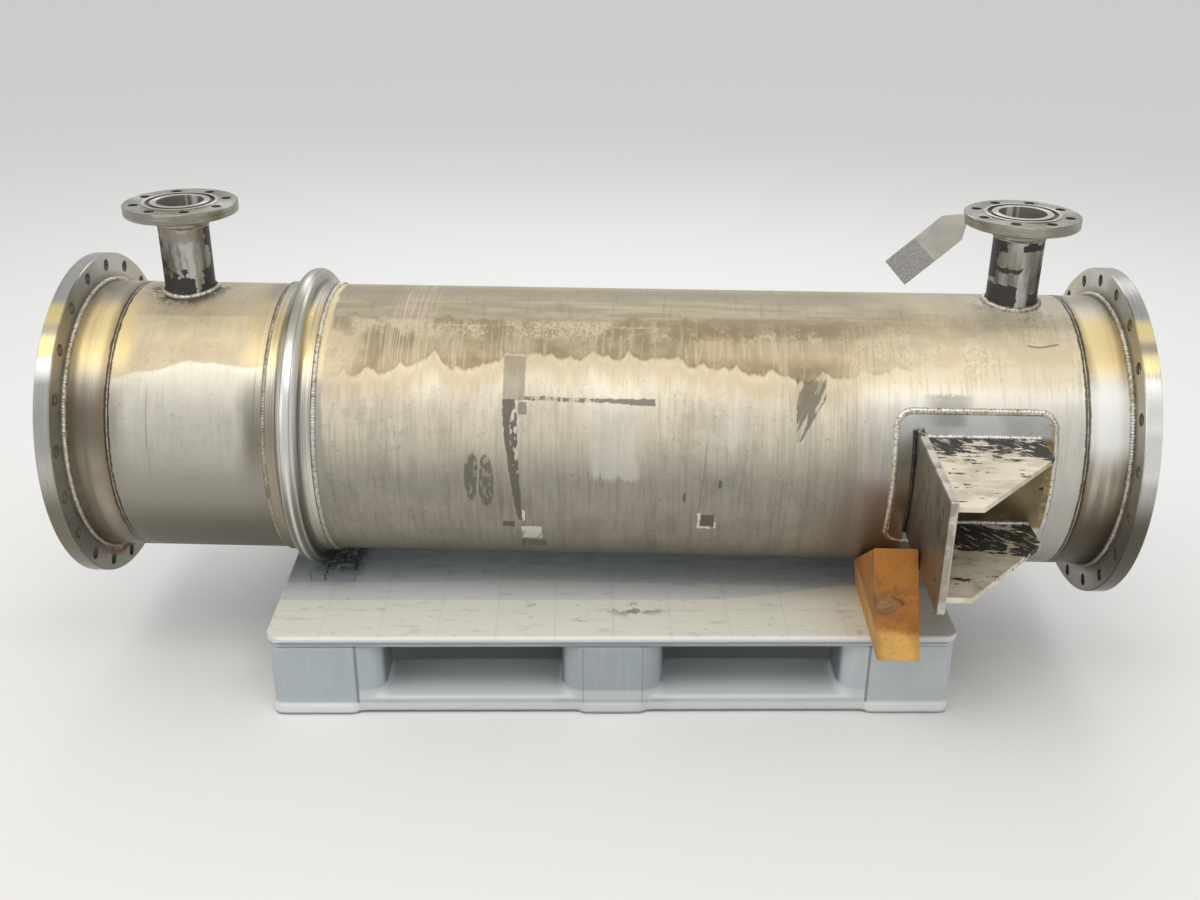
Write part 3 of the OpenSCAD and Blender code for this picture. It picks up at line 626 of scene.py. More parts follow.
# %% The long course's finish
def long_course_steel():
    paint = Paint("long_course_steel")
    noise = LongCourseNoise(paint)
    clouds, fine, blots, specks = noise.clouds, noise.fine, noise.blots, noise.specks
    down = paint.round_shell()
    below = down + (specks - 0.5) * 0.005 - run_line(paint)
    above = below.fall(-0.0035, 0.0035)
    # thin: where a painted warm reflection shows golden over the brown, at both ends
    thin = (paint.x.rise(0.34, 0.52) * 0.85).either(paint.x.fall(-0.45, -0.36) * 0.6)
    thin = thin * down.rise(0.080, 0.150)

    side = plate_sides(paint, noise, down, below)
    brown = brown_top(paint, noise, down, thin)
    colour = paint.blend(above * (0.95 - paint.x.rise(0.44, 0.58) * 0.40), side, brown)
    dotted = (specks * 0.45 + fine * 0.55).rise(0.50, 0.57) * paint.x.rise(0.36, 0.52)
    dotted = dotted * down.window(0.075, 0.26, 0.03) * blots.rise(0.40, 0.56)
    colour = colour.tint(dotted * 0.55, (0.82, 0.79, 0.73))
    edge = below.window(-0.0045, 0.0010, 0.003) * (1 - thin)
    colour = colour.coat(edge * 0.24, LINE_BROWN)
    halo = below.window(0.002, 0.014, 0.005) * fine.fall(0.45, 0.60) * (1 - thin)
    colour = colour.coat(halo * 0.30, LINE_HALO)
    colour = scratch(paint, colour, down, above)
    dark, pale = tape_marks(paint, down)
    colour = colour.coat(dark * 0.90, TAPE_MARK)
    colour = colour.coat(pale * 0.85, PEELED)

    ragged = (blots - 0.5) * 0.05
    lower_down = down.rise(0.205, 0.245)
    near_seam = (paint.x + ragged * 0.6).rise(SEAM_X - 0.062, SEAM_X - 0.030) * lower_down
    pad_x, pad_z = round_pad(paint)
    near_pad = (pad_x.either(pad_z) + ragged * 0.25).fall(0.018, 0.030)
    near_pad = near_pad.either(pad_x.fall(0.03, 0.09) * lower_down * 0.8)
    near_pipe = (paint.from_nozzle() + ragged * 0.8).fall(PIPE_R + 0.01, PIPE_R + 0.07)
    near_pipe = near_pipe * paint.upper()
    brushed = near_seam.either(near_pad, near_pipe * 0.40)
    silver = paint.blend(fine.rise(0.42, 0.62) * 0.25, BRUSHED, SILVER_GRAIN)
    # painted shade: the brushed zones are darker low on the shell
    silver = silver.coat(down.rise(0.33, 0.44), SILVER_LOW_SHADE)
    colour = colour.coat(brushed * (clouds * 0.5 + 0.65) * 0.85, silver)

    from_sleeve = paint.x - BELLOWS_X + ragged * 0.4
    near_bellows = from_sleeve.fall(SLEEVE_END + 0.016, SLEEVE_END + 0.022)
    by_bellows = paint.blend(lower_down, HEAT_STRAW, HEAT_GREY)
    by_bellows = by_bellows.coat(down.rise(0.34, 0.46), HEAT_DARK)
    colour = colour.coat(near_bellows * 0.8, by_bellows)
    grime = (down + (specks - 0.5) * 0.02).window(0.236, 0.272, 0.004)
    grime = paint.x.window(0.572, 0.640, 0.016) * grime * paint.front()
    colour = colour.coat(grime * blots.rise(0.36, 0.44) * 0.65, GRIME)
    # painted shade with dirt along the bottom of the shell
    colour = colour.coat(down.rise(0.50, 0.64) * 0.55, BELLY_SHADE_AND_DIRT)
    # painted reflection and shade of the timber wedge: brown low on the shell beside the pad
    corner = paint.x.window(0.40, 0.62, 0.05) * down.rise(0.36, 0.50)
    colour = colour.coat(corner * 0.55, WEDGE_REFLECTION_SHADE)
    sooty = near_pipe * (specks * 0.35 + blots * 0.65).rise(0.49, 0.60)
    colour = seam_line(paint, colour.coat(sooty * 0.7, PIPE_SOOT))

    rough = clouds * 0.12 + above * 0.08 + dark * 0.10 - brushed * 0.10 + 0.46
    metal = 0.78 - above * 0.16 - dark * 0.25 + near_bellows * 0.12
    height = noise.streaks * 0.30 + clouds * 0.9 + fine * 0.06 + specks * 0.12
    return paint.finish(colour, rough, metal, height, 0.0011)


dress(long_course_steel(), "shell_course_right")

# %% [markdown]
# ## The short course and the end rings
#
# The short course is newer plate, smooth and light, with one soft edge of grime near
# its shoulder and a dark band beside the bellows. Beside its seam and the bellows it has
# painted warm highlights, and it is painted darker low down as shade. The rings between
# the course and the tubesheets were heated by two long welds: they are brown near the
# beads, in a band that follows each bead round. A yellow band round the shoulder of each
# ring is a painted warm reflection, a white patch on the right ring is a painted
# highlight, and the rings too are painted darker low down as shade.

# %% The short course's finish
SHORT_CREAM = (0.74, 0.70, 0.59)
SHORT_LOW_SHADE = (0.59, 0.565, 0.49)
GRIMY_GOLD = (0.76, 0.645, 0.425)
GRIMY_TAN = (0.62, 0.525, 0.35)
SHOULDER_GREY = (0.44, 0.40, 0.32)
TOP_DULL = (0.36, 0.325, 0.26)
EDGE_PALE = (0.84, 0.79, 0.66)
SCRATCH_BROWN = (0.25, 0.22, 0.18)
HEAT_BAND = (0.38, 0.35, 0.295)
HEAT_LOW = (0.19, 0.162, 0.12)
HEAT_STRIPE = (0.22, 0.19, 0.145)
HEAT_TOP = (0.25, 0.22, 0.17)
SEAM_GOLD_HIGHLIGHT = (0.93, 0.72, 0.34)
SEAM_GREY = (0.29, 0.25, 0.19)
LOW_SHADE_GREY = (0.33, 0.31, 0.26)
UNDER_SHADE_BROWN = (0.15, 0.135, 0.10)
FOOT_SOOT = (0.075, 0.066, 0.052)


def short_course_steel():
    paint = Paint("short_course_steel")
    down = paint.round_shell()
    streaks, clouds, fine = steel_grain(paint, 31.0)
    blots = paint.noise(13.0, 5.0, 37.0, rough=0.62)
    specks = paint.noise(150.0, 4.0, 39.0, rough=0.65)
    wave = paint.noise((9.0, 2.0, 2.0), 3.0, 35.0)
    line = (wave - 0.5) * 0.055 + 0.204 + (-0.70 - paint.x).either(0.0) * 0.16
    above = (down + (specks - 0.5) * 0.003 - line).fall(-0.0020, 0.0035)
    # painted shade: the plate is darker lower down
    colour = paint.blend(down.rise(0.18, 0.36), SHORT_CREAM, SHORT_LOW_SHADE)
    grimy = paint.blend(down.rise(0.148, 0.188), GRIMY_GOLD, GRIMY_TAN)
    colour = colour.coat(above * 0.9, grimy)
    upper = (down + (wave - 0.5) * 0.012).fall(0.098, 0.103)
    colour = colour.coat(upper * 0.34, SHOULDER_GREY)
    colour = colour.coat(down.fall(0.02, 0.09) * 0.30, TOP_DULL)
    halo = (down - line).window(0.000, 0.012, 0.003)
    colour = colour.coat(halo * 0.3, EDGE_PALE)
    colour = colour.tint(blots.rise(0.50, 0.62) * 0.4, (1.10, 1.10, 1.09))
    colour = colour.tint(blots.fall(0.38, 0.46) * 0.5, (0.86, 0.85, 0.83))
    colour = colour.tint(fine.rise(0.46, 0.68) * 0.4, (0.84, 0.83, 0.80))
    colour = colour.tint(specks.rise(0.62, 0.68) * 0.5, (0.55, 0.52, 0.46))
    crack = (paint.x + 0.770 + (fine - 0.5) * 0.004).size()
    scratch = crack.fall(0.0004, 0.0012) * down.window(0.25, 0.42, 0.02) * paint.front()
    colour = colour.coat(scratch * 0.6, SCRATCH_BROWN)
    ragged = (blots - 0.5) * 0.10 + (streaks - 0.5) * 0.05
    near_seam = (paint.x + SEAM_X + ragged * 0.5).fall(0.010, 0.042)
    from_sleeve = paint.x - BELLOWS_X + SLEEVE_END
    near_bellows = (from_sleeve + ragged * 0.35).rise(-0.056, -0.026)
    brush = paint.noise((200.0, 3.0, 3.0), 4.0, 41.0, rough=0.6)
    colour = colour.coat(near_bellows * down.rise(0.16, 0.26) * 0.7, HEAT_BAND)
    low_brown = down.rise(0.23, 0.34) * near_bellows
    colour = colour.coat(low_brown * 0.65, HEAT_LOW)
    stripes = (brush * 0.8 + clouds * 0.2).rise(0.48, 0.62)
    stripes = stripes * (from_sleeve + ragged * 0.2).rise(-0.030, -0.014)
    colour = colour.coat(stripes * 0.72, HEAT_STRIPE)
    colour = colour.coat(near_bellows * down.fall(0.03, 0.10) * 0.6, HEAT_TOP)
    # painted warm highlight beside the seam and the bellows, in a band below the shoulder
    tint = near_seam.either(near_bellows * 0.55) * clouds.rise(0.25, 0.60)
    colour = colour.coat(tint * down.window(0.06, 0.205, 0.04) * 0.9, SEAM_GOLD_HIGHLIGHT)
    colour = colour.coat(near_seam * down.rise(0.20, 0.30) * 0.6, SEAM_GREY)
    # painted shade towards the bottom of the course
    colour = colour.coat(down.rise(0.33, 0.43) * 0.88, LOW_SHADE_GREY)
    colour = colour.coat(down.rise(0.42, 0.54) * 0.85, UNDER_SHADE_BROWN)
    sooty = (paint.from_nozzle() + ragged * 0.35).fall(PIPE_R + 0.012, PIPE_R + 0.040)
    sooty = sooty * (specks * 0.35 + blots * 0.65).rise(0.47, 0.55)
    colour = colour.coat(sooty * paint.upper() * 0.85, FOOT_SOOT)
    colour = seam_line(paint, colour)
    rough = clouds * 0.12 + above * 0.06 + 0.44 - near_seam * 0.10 - near_bellows * 0.10
    height = streaks * 0.25 + clouds * 0.8 + fine * 0.06 + specks * 0.12
    return paint.finish(colour, rough, 0.74 + near_bellows * 0.12, height, 0.0010)


# %% The end rings' finish
RING_BUFF = (0.60, 0.555, 0.46)
RING_STREAK = (0.42, 0.375, 0.29)
RING_GRAIN = (0.34, 0.30, 0.23)
RING_WARM_REFLECTION = (0.97, 0.77, 0.38)
WARM_REFLECTION_RUBBED = (0.60, 0.45, 0.22)
RING_HIGHLIGHT_WHITE = (0.97, 0.96, 0.93)
MOTTLE_DARK = (0.19, 0.16, 0.115)
MOTTLE_PALE = (0.36, 0.32, 0.25)
BEADSIDE_BROWN = (0.24, 0.175, 0.095)
RING_TOP = (0.31, 0.275, 0.21)
RING_BELLY_SHADE = (0.11, 0.092, 0.066)
SHADE_BLACK = (0.055, 0.046, 0.034)
BLOTCH_BROWN = (0.11, 0.085, 0.055)
RUST = (0.36, 0.13, 0.035)


def end_ring_steel():
    paint = Paint("end_ring_steel")
    down = paint.round_shell()
    streaks, clouds, fine = steel_grain(paint, 51.0)
    brush = paint.noise((240.0, 3.0, 3.0), 4.0, 55.0, rough=0.6)
    along = paint.x.size()
    at_right = paint.at_right()
    from_seam, from_sheet = along - SEAM_X, SHEET_BACK - along
    colour = paint.blend(streaks.rise(0.42, 0.60) * 0.6, RING_BUFF, RING_STREAK)
    colour = colour.coat(brush.rise(0.50, 0.62) * 0.35, RING_GRAIN)
    # painted warm reflection: a yellow band round the ring's shoulder, rubbed in places
    warm_reflection = down.window(0.065, 0.212, 0.035) * clouds.rise(0.15, 0.5)
    colour = colour.coat(warm_reflection * 0.92, RING_WARM_REFLECTION)
    rubbed = warm_reflection * (brush * 0.5 + streaks * 0.5).rise(0.50, 0.58)
    colour = colour.coat(rubbed * 0.28, WARM_REFLECTION_RUBBED)
    # painted highlight: a white patch on the right ring, below the yellow band
    polished = at_right * down.window(0.205, 0.345, 0.035)
    colour = colour.coat(polished, RING_HIGHLIGHT_WHITE)
    mottle = paint.blend(clouds.rise(0.4, 0.65), MOTTLE_DARK, MOTTLE_PALE)
    low = down.rise(0.215, 0.30) * (1 - at_right) + down.rise(0.37, 0.47) * at_right
    colour = colour.coat(low * 0.86, mottle)
    brown = (from_seam + (clouds - 0.5) * 0.03).fall(0.006, 0.022).either(
        (from_sheet + (clouds - 0.5) * 0.02).fall(0.012, 0.026))
    colour = colour.coat(brown * (0.62 - polished * 0.45), BEADSIDE_BROWN)
    colour = colour.coat(down.fall(0.0, 0.08) * 0.65, RING_TOP)
    # painted shade along the ring's bottom
    colour = colour.coat(down.rise(0.46, 0.60) * 0.75, RING_BELLY_SHADE)
    colour = colour.coat(at_right * down.rise(0.38, 0.50) * 0.85, SHADE_BLACK)
    darker = (clouds * 0.6 + streaks * 0.4).rise(0.50, 0.62) * down.rise(0.22, 0.34)
    darker = darker * (1 - polished)
    colour = colour.coat(darker * 0.5, BLOTCH_BROWN)
    rust = down.rise(0.56, 0.68) * from_sheet.fall(0.01, 0.05) * clouds.rise(0.4, 0.6)
    rust = rust * (1 - at_right)
    colour = colour.coat(rust * 0.9, RUST)
    colour = seam_line(paint, colour)
    rough = clouds * 0.14 + 0.32 + rust * 0.4 + polished * 0.10
    metal = 0.86 - rust * 0.75 - warm_reflection * 0.38 - polished * 0.62
    height = streaks * 0.3 + clouds * 0.7 + brush * 0.25 + fine * 0.1
    return paint.finish(colour, rough, metal, height, 0.0009)


dress(short_course_steel(), "shell_course_left")
dress(end_ring_steel(), "end_ring_left", "end_ring_right")

# %% [markdown]
# ## Bellows
#
# The convolution is thin polished sheet, so it mirrors the room in long clean lines
# across its crest, with brushed grooves at its feet. A low roughness on the crest, fine
# rings across it and darker bands in the two hollows give that look, and bright lines on
# the crest are painted highlights. A yellow band on the sleeves is a painted warm
# reflection, and the crest and the sleeves are painted darker low down as shade.

# %% The bellows finish
SLEEVE_BRIGHT = (0.66, 0.635, 0.57)
SLEEVE_GRAIN = (0.34, 0.315, 0.26)
CREST_BRIGHT = (0.84, 0.83, 0.80)
CREST_GRAIN = (0.52, 0.51, 0.47)
CREST_TOP = (0.42, 0.405, 0.345)
CREST_LOW_SHADE = (0.16, 0.15, 0.125)
CREST_HIGHLIGHT_LINE = (0.80, 0.79, 0.75)
CREST_GROOVE = (0.15, 0.135, 0.105)
HOLLOW_BROWN = (0.11, 0.095, 0.07)
SLEEVE_WARM_REFLECTION = (0.86, 0.69, 0.32)
SLEEVE_LOW = (0.27, 0.215, 0.14)
SLEEVE_TOP = (0.30, 0.27, 0.20)
BELLOWS_UNDER_SHADE = (0.18, 0.165, 0.135)


def bellows_steel():
    paint = Paint("bellows_steel")
    radius = paint.from_axis()
    offset = paint.x - BELLOWS_X
    across = offset.size()
    down = paint.round_shell()
    rings = paint.noise((420.0, 3.0, 3.0), 4.0, 61.0, rough=0.6)
    clouds = paint.noise(9.0, 4.0, 63.0)
    crest = radius.rise(SHELL_R + 0.008, SHELL_R + 0.016)
    on_sleeve = radius.fall(SHELL_R + 0.005, SHELL_R + 0.008)
    colour = paint.blend(rings.rise(0.44, 0.60) * 0.7, SLEEVE_BRIGHT, SLEEVE_GRAIN)
    sheet = paint.blend(rings.rise(0.50, 0.64) * 0.3, CREST_BRIGHT, CREST_GRAIN)
    sheet = sheet.coat(down.fall(0.10, 0.24) * 0.85, CREST_TOP)
    # painted shade on the lower crest
    sheet = sheet.coat(down.rise(0.30, 0.47) * 0.92, CREST_LOW_SHADE)
    # painted highlights: bright lines across the crest, lower down on it
    lines = offset.window(-0.001, 0.0045, 0.0012).either(
        offset.window(-0.0125, -0.0105, 0.0008) * 0.6, offset.window(0.0125, 0.0145, 0.0008) * 0.7)
    sheet = sheet.coat(lines * down.rise(0.26, 0.40) * 0.75, CREST_HIGHLIGHT_LINE)
    grooves = offset.window(-0.0085, -0.0065, 0.0008).either(
        offset.window(0.0075, 0.0095, 0.0008))
    sheet = sheet.coat(grooves * 0.55, CREST_GROOVE)
    colour = colour.coat(crest, sheet)
    hollow = across.window(0.0165, 0.0235, 0.0022) * (1 - crest * 0.6)
    colour = colour.coat(hollow * 0.70, HOLLOW_BROWN)
    # painted warm reflection: a yellow band on the sleeves
    warm_reflection = down.window(0.07, 0.215, 0.035) * clouds.rise(0.25, 0.5)
    rubbed = (rings * 0.6 + clouds * 0.4).rise(0.42, 0.60)
    colour = colour.coat(warm_reflection * (1 - crest * 0.85) * (1 - rubbed * 0.55), SLEEVE_WARM_REFLECTION)
    left_low = on_sleeve * offset.fall(-0.02, -0.01) * down.rise(0.20, 0.32)
    colour = colour.coat(left_low * 0.75, SLEEVE_LOW)
    colour = colour.coat(down.fall(0.02, 0.09) * (1 - crest) * 0.7, SLEEVE_TOP)
    # painted shade underneath the bellows
    colour = colour.coat(down.rise(0.42, 0.66) * (0.68 - crest * 0.40), BELLOWS_UNDER_SHADE)
    rough = 0.34 - crest * 0.10 + clouds * 0.10
    return paint.finish(colour, rough, 0.94, rings * 0.8 + clouds * 0.6, 0.0007)


dress(bellows_steel(), "expansion_bellows")

# %% [markdown]
# ## Turned flanges and tubesheets
#
# A lathe leaves rings about its own axis. They are a sine of the distance from that
# axis, with noise in its phase so that no two rings are alike. The tubesheets turn
# about the shell's axis and the nozzle flanges about upright ones, so there are two
# finishes. The inside of the threaded rim holes is left to a real thread further on.

# %% The tubesheets' finish
LATHE_PITCH = 0.0016


def lathe_rings(radius, clouds, waver):
    """The sine of the distance from the lathe's axis, from -1 to 1."""
    return (radius * (2 * pi / LATHE_PITCH) + clouds * waver).maths("SINE")


SHEET_PALE = (0.62, 0.595, 0.53)
SHEET_DULL = (0.44, 0.415, 0.355)
RIM_GREY = (0.50, 0.487, 0.455)
RIM_SMEAR = (0.36, 0.345, 0.31)
FACE_STRAW = (0.85, 0.68, 0.28)
RIM_REFLECTION_GOLD = (0.84, 0.66, 0.27)
RIM_REFLECTION_PALE_GOLD = (0.97, 0.80, 0.38)
RIM_REFLECTION_GAP = (0.46, 0.37, 0.20)
GROUND_BROWN = (0.27, 0.235, 0.175)
RIM_REFLECTION_WHITE = (0.92, 0.91, 0.87)
RIM_REFLECTION_LINE = (0.17, 0.16, 0.14)
RIM_HIGHLIGHT = (0.90, 0.89, 0.86)
RIM_LOW_SHADE = (0.14, 0.118, 0.08)
FACE_LOW_SHADE = (0.17, 0.145, 0.10)
FACE_GREY = (0.30, 0.285, 0.24)
FACE_RUST = (0.37, 0.135, 0.035)


def tubesheet_steel():
    paint = Paint("tubesheet_steel")
    radius = paint.from_axis()
    along = paint.x.size()
    down = paint.y.maths("ARCTAN2", paint.z - AXIS_Z).size()
    clouds = paint.noise(9.0, 4.0, 71.0)
    smear = paint.noise((220.0, 14.0, 14.0), 3.0, 73.0)
    phase = lathe_rings(radius, clouds, 9.0)
    rim = radius.rise(SHEET_R - 0.004, SHEET_R - 0.001)
    inner_face = (along - SHEET_BACK).fall(0.001, 0.004)
    colour = paint.blend(clouds.rise(0.35, 0.7), SHEET_PALE, SHEET_DULL)
    colour = colour.coat(rim * 0.9, RIM_GREY)
    colour = colour.coat(rim * smear.rise(0.45, 0.7) * 0.5, RIM_SMEAR)
    face_straw = down.window(0.55, 1.05, 0.16) * clouds.rise(0.3, 0.6) * (1 - rim)
    colour = colour.coat(face_straw * 0.25, FACE_STRAW)
    at_right = paint.at_right()
    # painted reflections on the rim: golden bands with a gap, a white patch, a dark line and a
    # shine on the right
    painted_rim_gold = down.window(0.50, 0.655, 0.045).either(down.window(0.725, 0.850, 0.045)) * rim
    painted_rim_gold_colour = paint.blend(at_right, RIM_REFLECTION_GOLD, RIM_REFLECTION_PALE_GOLD)
    colour = colour.coat(painted_rim_gold * 0.92, painted_rim_gold_colour)
    colour = colour.coat(down.window(0.660, 0.720, 0.025) * rim * 0.6, RIM_REFLECTION_GAP)
    ground = radius.fall(0.262, 0.272) * inner_face
    colour = colour.coat(ground * 0.6, GROUND_BROWN)
    painted_rim_white = rim * down.rise(0.85, 0.90) * (down - at_right * 0.19).fall(0.95, 1.03)
    colour = colour.coat(painted_rim_white * 0.9, RIM_REFLECTION_WHITE)
    colour = colour.coat(rim * at_right * down.window(1.20, 1.24, 0.02) * 0.3, RIM_REFLECTION_LINE)
    painted_rim_highlight = rim * at_right * down.window(1.12, 1.46, 0.05)
    colour = colour.coat(painted_rim_highlight * 0.8, RIM_HIGHLIGHT)
    # painted shade: the rim and the face darker low down
    colour = colour.coat(rim * down.rise(1.46, 1.80) * 0.86, RIM_LOW_SHADE)
    colour = colour.coat(rim * at_right * down.rise(1.50, 1.75) * 0.6, SHADE_BLACK)
    colour = colour.coat(down.rise(1.75, 2.35) * (1 - rim) * 0.6, FACE_LOW_SHADE)
    colour = colour.coat(inner_face * (1 - at_right) * 0.35, FACE_GREY)
    rust = down.rise(2.25, 2.75) * radius.fall(0.262, 0.283) * inner_face
    rust = rust * paint.noise(45.0, 4.0, 77.0).rise(0.38, 0.58) * (1 - at_right)
    colour = colour.coat(rust, FACE_RUST)
    rough = clouds * 0.14 + 0.25 + rust * 0.4 - rim * 0.05
    metal = 0.95 - rust * 0.8 - (painted_rim_gold + painted_rim_white) * 0.25 - painted_rim_highlight * 0.40
    height = phase * 0.5 * (1 - rim) + smear * rim * 0.8 + clouds * 1.2
    return paint.finish(colour, rough, metal, height, 0.00028)


# %% The nozzle flanges' finish
FLANGE_BUFF = (0.47, 0.45, 0.375)
FLANGE_DARK = (0.27, 0.255, 0.205)
GASKET_DARK = (0.10, 0.09, 0.075)
RAISED_PALE = (0.76, 0.74, 0.69)
FLANGE_RIM_DARK = (0.20, 0.185, 0.145)
FLANGE_RIM_PALE = (0.46, 0.44, 0.37)
BORE_DARK = (0.25, 0.235, 0.20)
BORE_LIT = (0.84, 0.82, 0.77)
FLANGE_UNDER = (0.30, 0.28, 0.235)


def nozzle_flange_steel():
    paint = Paint("nozzle_flange_steel")
    radius = paint.from_nozzle()
    from_top = paint.z - NOZZLE_FACE
    clouds = paint.noise(22.0, 4.0, 81.0)
    smear = paint.noise((10.0, 10.0, 420.0), 3.0, 83.0)
    phase = lathe_rings(radius, clouds, 6.0)
    rim = radius.rise(NOZZLE_FLANGE_R - 0.003, NOZZLE_FLANGE_R - 0.001)
    colour = paint.blend(clouds.rise(0.35, 0.65), FLANGE_BUFF, FLANGE_DARK)
    groove = radius.window(0.0525, 0.0605, 0.0004) * from_top.window(-0.006, -0.002, 0.0008)
    colour = colour.coat(groove * 0.8, GASKET_DARK)
    raised = radius.window(0.0, 0.067, 0.0005) * from_top.rise(-0.0012, -0.0006)
    colour = colour.coat(raised * 0.5, RAISED_PALE)
    smeared = (smear * 0.4 + clouds * 0.6).rise(0.42, 0.6)
    colour = colour.coat(rim * 0.7, paint.blend(smeared, FLANGE_RIM_DARK, FLANGE_RIM_PALE))
    # painted light: bright streaks on the far wall of the bore, over a darker bore
    bore = radius.fall(PIPE_R - 0.0030, PIPE_R - 0.0015)
    inside = paint.x.size() - NOZZLE_X
    worn = inside.window(-0.019, -0.007, 0.003).either(inside.window(0.001, 0.0045, 0.002) * 0.7)
    colour = colour.coat(bore * 0.92, paint.blend(worn, BORE_DARK, BORE_LIT))
    under = from_top.fall(-0.024, -0.020)
    colour = colour.coat(under * 0.45, FLANGE_UNDER)
    rough = clouds * 0.16 + 0.24
    height = phase * 0.5 * (1 - rim) + smear * rim * 0.7 + clouds * 0.8
    return paint.finish(colour, rough, 0.94 - bore * 0.55, height, 0.00028)


dress(tubesheet_steel(), "tubesheet_left", "tubesheet_right")
dress(nozzle_flange_steel(), "nozzle_flange_left", "nozzle_flange_right")

# %% [markdown]
# ## Black paint that flakes
#
# The nozzle pipes, the gussets and the lug plates were once painted black over bare
# steel, and most of it has come off. One function makes the patches: noise stretched
# along the part is cut at a level that another mask raises or lowers, so paint holds
# on where the photograph shows it, against the welds and in corners.

# %% Paint that flakes
PAINT_EDGE = 0.016
PAINT_WORN = (0.10, 0.095, 0.085)


def flaked(paint, cover, bare, noise_scale, seed, metal=0.85, rough=0.31):
    """Black paint over bare steel. It covers the share of the surface that cover gives."""
    flakes = paint.noise(noise_scale, 6.0, seed, rough=0.64)
    fine = paint.noise(220.0, 3.0, seed + 2)
    painted = (flakes + (cover - 0.5) * 0.75).rise(0.5 - PAINT_EDGE, 0.5 + PAINT_EDGE)
    black = paint.blend(fine.rise(0.55, 0.75) * 0.5, SOOT, PAINT_WORN)
    roughness = painted * 0.16 + fine * 0.08 + rough
    height = painted * 0.7 + flakes * 0.2 + fine * 0.12
    colour = bare.coat(painted, black)
    return paint.finish(colour, roughness, (1 - painted) * metal, height, 0.0005)


# %% The nozzle pipes' finish
# Where paint is left on each pipe: from and to across it, in radii, and from and to up it,
# as a share of its height.
LEFT_PATCHES = [
    (-2.0, 2.0, -1.0, 0.02), (-1.4, 0.22, 0.03, 0.27), (0.55, 1.3, 0.06, 0.38),
    (0.74, 1.3, 0.72, 1.1), (-1.3, -0.93, 0.30, 1.0), (0.90, 1.3, 0.3, 0.75),
    (0.36, 1.2, 0.02, 0.13), (-0.28, -0.10, 0.28, 0.40)]
RIGHT_PATCHES = [
    (-1.1, -0.62, 0.82, 1.2), (0.0, 0.95, 0.86, 0.97), (-1.4, -0.10, 0.02, 0.33),
    (0.36, 1.1, 0.03, 0.20), (-1.3, -0.90, 0.40, 1.0), (0.80, 0.93, 0.42, 0.60)]
PIPE_BARE = (0.55, 0.54, 0.51)
PIPE_GRAIN = (0.26, 0.245, 0.215)
PIPE_HEAT = (0.30, 0.27, 0.215)


def pipe_steel(side):
    paint = Paint("flaked_pipe_left" if side < 0 else "flaked_pipe_right")
    seed = 91.0 + side
    rag = paint.noise((60.0, 60.0, 80.0), 6.0, seed + 20, rough=0.66) - 0.5
    lean = 0.345 if side < 0 else 0.0
    leaned = (paint.x - side * NOZZLE_X) * cos(lean) + paint.y * sin(lean)
    across = leaned / PIPE_R + rag * 0.55
    height = (paint.z - AXIS_Z - SHELL_R) / (PIPE_TOP - AXIS_Z - SHELL_R) + rag * 0.22
    clouds = paint.noise((42.0, 42.0, 14.0), 4.0, seed, rough=0.62)
    lengthwise = paint.noise((95.0, 95.0, 6.0), 3.0, seed + 4, rough=0.6)
    grain = (clouds * 0.5 + lengthwise * 0.5).rise(0.42, 0.58)
    bare = paint.blend(grain, PIPE_BARE, PIPE_GRAIN)
    # painted highlight and shade: the pipe is lighter across its middle as seen from the front and
    # darker at its sides
    rubbed = across.window(-0.35, 0.45, 0.30)
    bare = bare.tint(1 - rubbed, (0.66, 0.64, 0.60))
    flecks = paint.noise((80.0, 80.0, 120.0), 3.0, seed + 9).rise(0.64, 0.67)
    if side < 0:
        slope = height - 0.47 + (across + 0.95) * 0.42
        painted = slope.near(0.022, 0.048) * across.window(-1.0, -0.22, 0.05)
        weld_band = height.window(0.80, 0.97, 0.03) * 0.75
    else:
        slope = height - 0.56
        painted = slope.near(0.020, 0.042) * across.window(-0.95, -0.05, 0.08)
        weld_band = height.window(0.55, 0.90, 0.1) * 0.4
    bare = bare.coat(weld_band, PIPE_HEAT)
    for x1, x2, z1, z2 in LEFT_PATCHES if side < 0 else RIGHT_PATCHES:
        painted = painted.either(across.window(x1, x2, 0.05) * height.window(z1, z2, 0.02))
    painted = painted * paint.y.fall(0.005, 0.035)
    cover = painted * 1.5 - 0.22 + flecks * 0.40 + paint.y.rise(0.01, 0.04) * 0.35
    return flaked(paint, cover, bare, (75.0, 75.0, 95.0), 95.0 + 6 * side)


# %% The gussets' and lug plates' finishes
GUSSET_CREAM = (0.86, 0.785, 0.63)
GUSSET_TAN = (0.58, 0.515, 0.40)
GUSSET_DULL = (0.42, 0.375, 0.29)


def lug_steel(name, seed, inner_cover, reach, flecks):
    paint = Paint(name)
    outward = (paint.y.size() - PAD_R + 0.012) / (LUG_EDGE - PAD_R)
    grain = paint.noise((14.0, 30.0, 14.0), 5.0, seed, rough=0.62)
    clouds = paint.noise(24.0, 4.0, seed + 4)
    bare = paint.blend(grain.rise(0.46, 0.60) * 0.7, GUSSET_CREAM, GUSSET_TAN)
    bare = bare.coat(clouds.rise(0.58, 0.70) * 0.5, GUSSET_DULL)
    island = paint.noise((16.0, 34.0, 20.0), 3.0, seed + 6)
    scraped = paint.point(paint.x + paint.y * 0.8, paint.y - paint.x * 0.8, paint.z)
    scratches = paint.noise((260.0, 22.0, 60.0), 3.0, seed + 10, scraped).rise(0.60, 0.64)
    inner = outward.fall(reach * 0.35, reach) * inner_cover
    cover = inner + island * 1.6 - 0.80 + flecks - scratches * 0.5
    return flaked(paint, cover, bare, (34.0, 90.0, 60.0), seed + 8, metal=0.50, rough=0.40)


